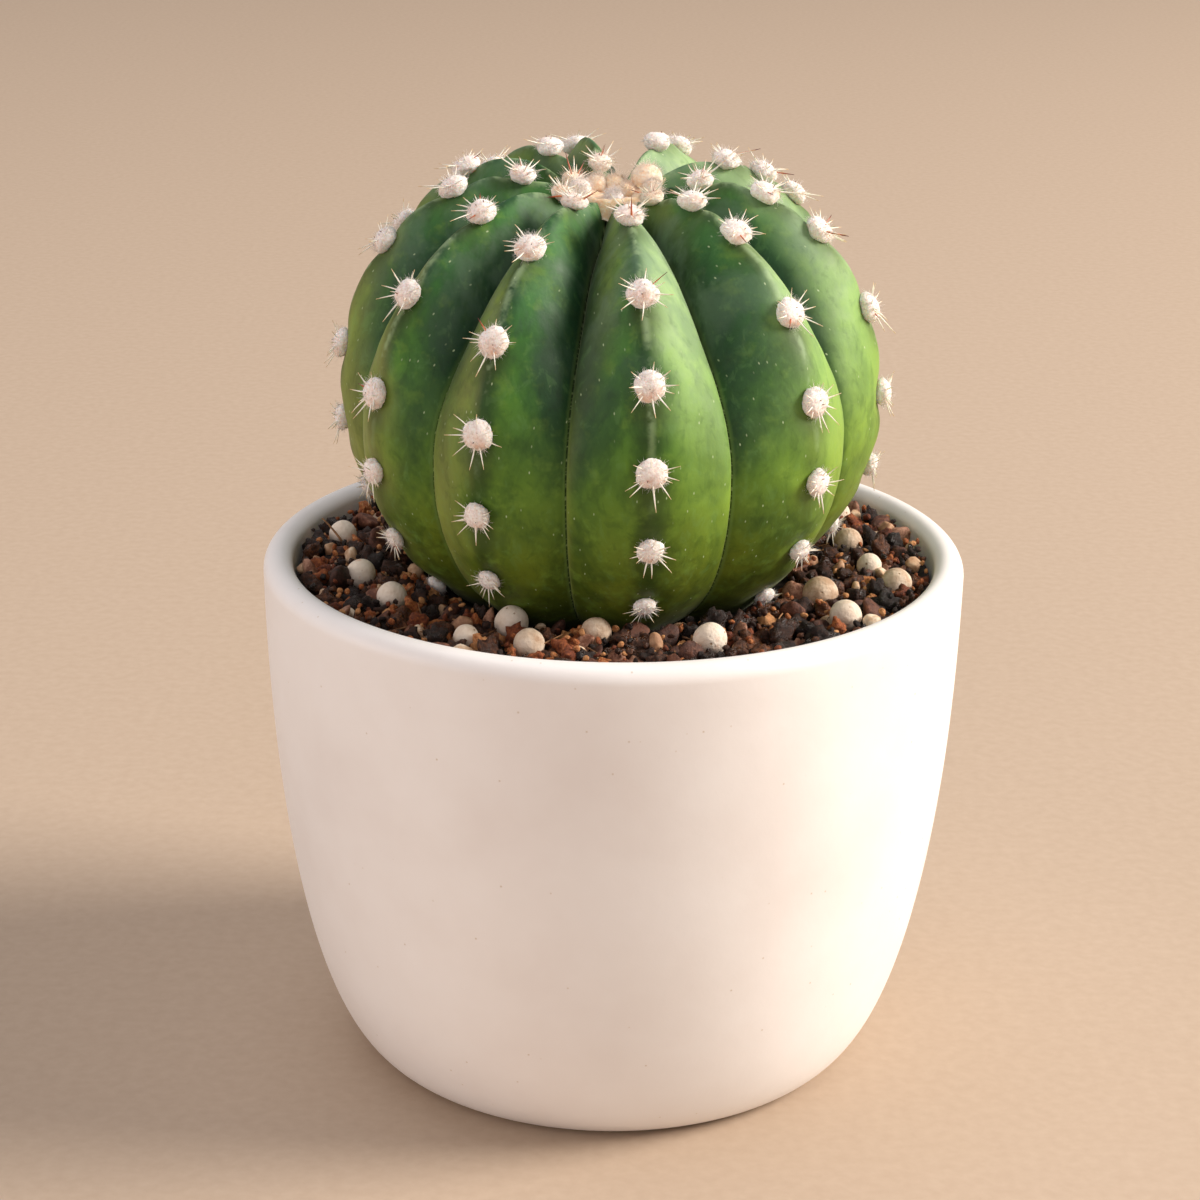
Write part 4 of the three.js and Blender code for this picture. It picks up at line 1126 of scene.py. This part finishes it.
# Humus: dark brown crumbs of rotted bark and peat, damp enough to glint here and there.
humus, node, where = start_finish("damp_humus")
tone_mark = node("Attribute", attribute_name="tone").outputs["Fac"]
rot = node("TexNoise", {"Vector": where, "Scale": 1 / (0.7 * MM), "Detail": 6.0, "Roughness": 0.72})
rot_place = node("Math", [tone_mark, 0.42, rot], operation="MULTIPLY_ADD")
humus_colour = node("ValToRGB", [rot_place], [
    (0.35, "#0c0502"), (0.62, "#200e07"), (0.84, "#43220f"), (1.0, "#7a4a2c")])
damp = node("TexNoise", {"Vector": where, "Scale": 1 / (1.5 * MM), "Detail": 2.0})
damp_rough = node("MapRange", [damp, 0.46, 0.6, 0.78, 0.18], interpolation_type="SMOOTHSTEP")
rot_bump = node("Bump", {"Height": rot, "Distance": 0.5 * MM})
end_finish(node, {"Base Color": humus_colour, "Roughness": damp_rough, "Normal": rot_bump})
humus_piece = grain_piece(
    "humus_crumbs", lumpy_crumbs(grains["humus"], middle_ball, 11, 17), middle_faces, humus, 1)

# Bark: broken bits of composted bark, longer than they are wide, reddish brown with paler torn faces.
bark = grainy_finish(
    "composted_bark",
    grain=1.0, detail=5, harshness=0.68, depth=0.4, roughness=0.66, tone_shift=0.5, ramp=[
        (0.38, "#1f0f0a"), (0.62, "#4b281b"), (0.86, "#80503a"), (1.0, "#ad8068")])
bark_shapes = broken_stones(grains["bark"], middle_ball, 7, 12, 0.42, 29)
grain_piece("bark_bits", bark_shapes, middle_faces, bark, 6)

# Fired clay: orange-brown porous granules, dull and crumbly.
fired_clay = grainy_finish(
    "fired_clay_granule",
    grain=0.5, detail=5, harshness=0.72, depth=0.5, roughness=0.7, tone_shift=0.55, ramp=[
        (0.38, "#3d190c"), (0.6, "#7d3a1a"), (0.82, "#b3642f"), (1.0, "#d99d66")])
clay_shapes = lumpy_crumbs(grains["clay"], middle_ball, 16, 19)
grain_piece("clay_granules", clay_shapes, middle_faces, fired_clay, 2)

# Stone chips: tan and buff crushed stone with broken faces.
chipped = grainy_finish(
    "crushed_buff_stone",
    grain=1.1, detail=4, harshness=0.5, depth=0.2, roughness=0.7, tone_shift=0.5, ramp=[
        (0.35, "#7f5740"), (0.6, "#b08563"), (0.85, "#d6b391"), (1.0, "#ecd8bf")])
chip_shapes = broken_stones(grains["chips"], middle_ball, 9, 14, 0.15, 23)
grain_piece("stone_chips", chip_shapes, middle_faces, chipped, 3)

# Fines: the smallest crumbs, of humus and of clay, that fill between the others.
half = len(grains["fines"]) // 2
fine_crumbs = lumpy_crumbs(grains["fines"][:half], coarse_ball, 6, 31)
fine_stones = broken_stones(grains["fines"][half:], coarse_ball, 8, 8, 0.2, 37)
grain_piece("fine_humus", fine_crumbs, coarse_faces, humus, 4)
grain_piece("fine_clay", fine_stones, coarse_faces, fired_clay, 5)


# Fibres: fine brown root and coir fibres, and a few splinters of wood, that lie over the grains.
FIBRES = 70
FIBRE_REACH = (31, 40)
FIBRE_LENGTHS = (2.5, 5.0)
FIBRE_RADII = (0.09, 0.24)
woody = grainy_finish("coir_fibre", grain=1.2, detail=3, harshness=0.5, depth=0.05, roughness=0.8, ramp=[
    (0.3, "#5a3a24"), (0.7, "#a87a50")])
draw = np.random.default_rng(41)
fibre_angle = draw.uniform(0, 2 * np.pi, FIBRES)
fibre_reach = draw.uniform(*FIBRE_REACH, FIBRES)
fibre_start = around(fibre_angle, fibre_reach, BED_LEVEL + 1.4)
fibre_way = unit(draw.normal(size=(FIBRES, 3)) * [1, 1, 0.12])
fibre_corners, fibre_faces, _, _ = needles(
    fibre_start, fibre_way, draw.uniform(*FIBRE_LENGTHS, FIBRES), draw.uniform(*FIBRE_RADII, FIBRES),
    draw.normal(size=(FIBRES, 3)) * [0.25, 0.25, 0.05], 5, 8, 0.5)
fibres = new_piece("coir_fibres", fibre_corners, [fibre_faces], woody)
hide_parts("potting_mix")
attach(fibres, "root")


# Stage: a wide, plain, pale floor under soft studio light. The key light is a large one high on the
# right, as the sun is in the reference, and a weak one fills from the left. The camera is 380 mm in
# front of the pot and looks down on it.
FLOOR_SIZE = 14.0
CAMERA_DISTANCE = 400
CAMERA_RISE = math.radians(18.75)
CAMERA_PLACE = Vector((0, -CAMERA_DISTANCE * math.cos(CAMERA_RISE),
                       POT_HEIGHT + CAMERA_DISTANCE * math.sin(CAMERA_RISE))) * MM
CAMERA_AIM = Vector((-1.89, 0, 67.32)) * MM
CAMERA_ROLL = math.radians(0.54)
LENS = 83.65
paper, node, where = start_finish("pale_paper_floor")
fibre_grain = node("TexNoise", {"Vector": where, "Scale": 1 / (2.0 * MM), "Detail": 3.0})
paper_colour = node("ValToRGB", [fibre_grain], [(0.3, "#b9a48f"), (0.7, "#bfab96")])
end_finish(node, {"Base Color": paper_colour, "Roughness": 0.9})
half_size = FLOOR_SIZE / 2 / MM
floor = new_piece("floor", [[-half_size, -half_size, 0], [half_size, -half_size, 0],
                            [half_size, half_size, 0], [-half_size, half_size, 0]],
                  [np.array([[0, 1, 2, 3]])], paper)


def add_light(name, place, aim, size, power, colour):
    lamp = bpy.data.lights.new(name, "AREA")
    lamp.shape = "DISK"
    lamp.size = size
    lamp.energy = power
    lamp.color = linear(colour)[:3]
    light = bpy.data.objects.new(name, lamp)
    light.location = place
    light.rotation_euler = (Vector(aim) - Vector(place)).to_track_quat("-Z", "Y").to_euler()
    bpy.context.scene.collection.objects.link(light)


AIM = (0, 0, 0.08)
for name, place, size, power, colour in (
        ("key", (2.06, 0.0, 1.22), 1.1, 86, "#fff6ec"), ("fill", (-1.9, -0.5, 0.4), 1.4, 13, "#fff0ea"),
        ("front", (-0.4, -2.2, 0.9), 2.0, 8.5, "#fcf6fb"), ("top", (-0.5, 0.3, 2.3), 1.6, 13, "#f4f6ff")):
    add_light(name, place, AIM, size, power, colour)

sky = bpy.data.worlds.new("studio")
sky.use_nodes = True
sky.node_tree.nodes["Background"].inputs["Color"].default_value = linear("#fff6f2")
sky.node_tree.nodes["Background"].inputs["Strength"].default_value = 0.34
bpy.context.scene.world = sky

eye = bpy.data.cameras.new("camera")
eye.sensor_width = 36
eye.lens = LENS
eye.clip_start = 0.01
eye.clip_end = 30
camera = bpy.data.objects.new("camera", eye)
camera.location = CAMERA_PLACE
look = (CAMERA_AIM - CAMERA_PLACE).to_track_quat("-Z", "Y")
camera.rotation_euler = (look @ Quaternion((0, 0, 1), CAMERA_ROLL)).to_euler()
bpy.context.scene.collection.objects.link(camera)
bpy.context.scene.camera = camera
bpy.context.scene.view_settings.view_transform = "Standard"
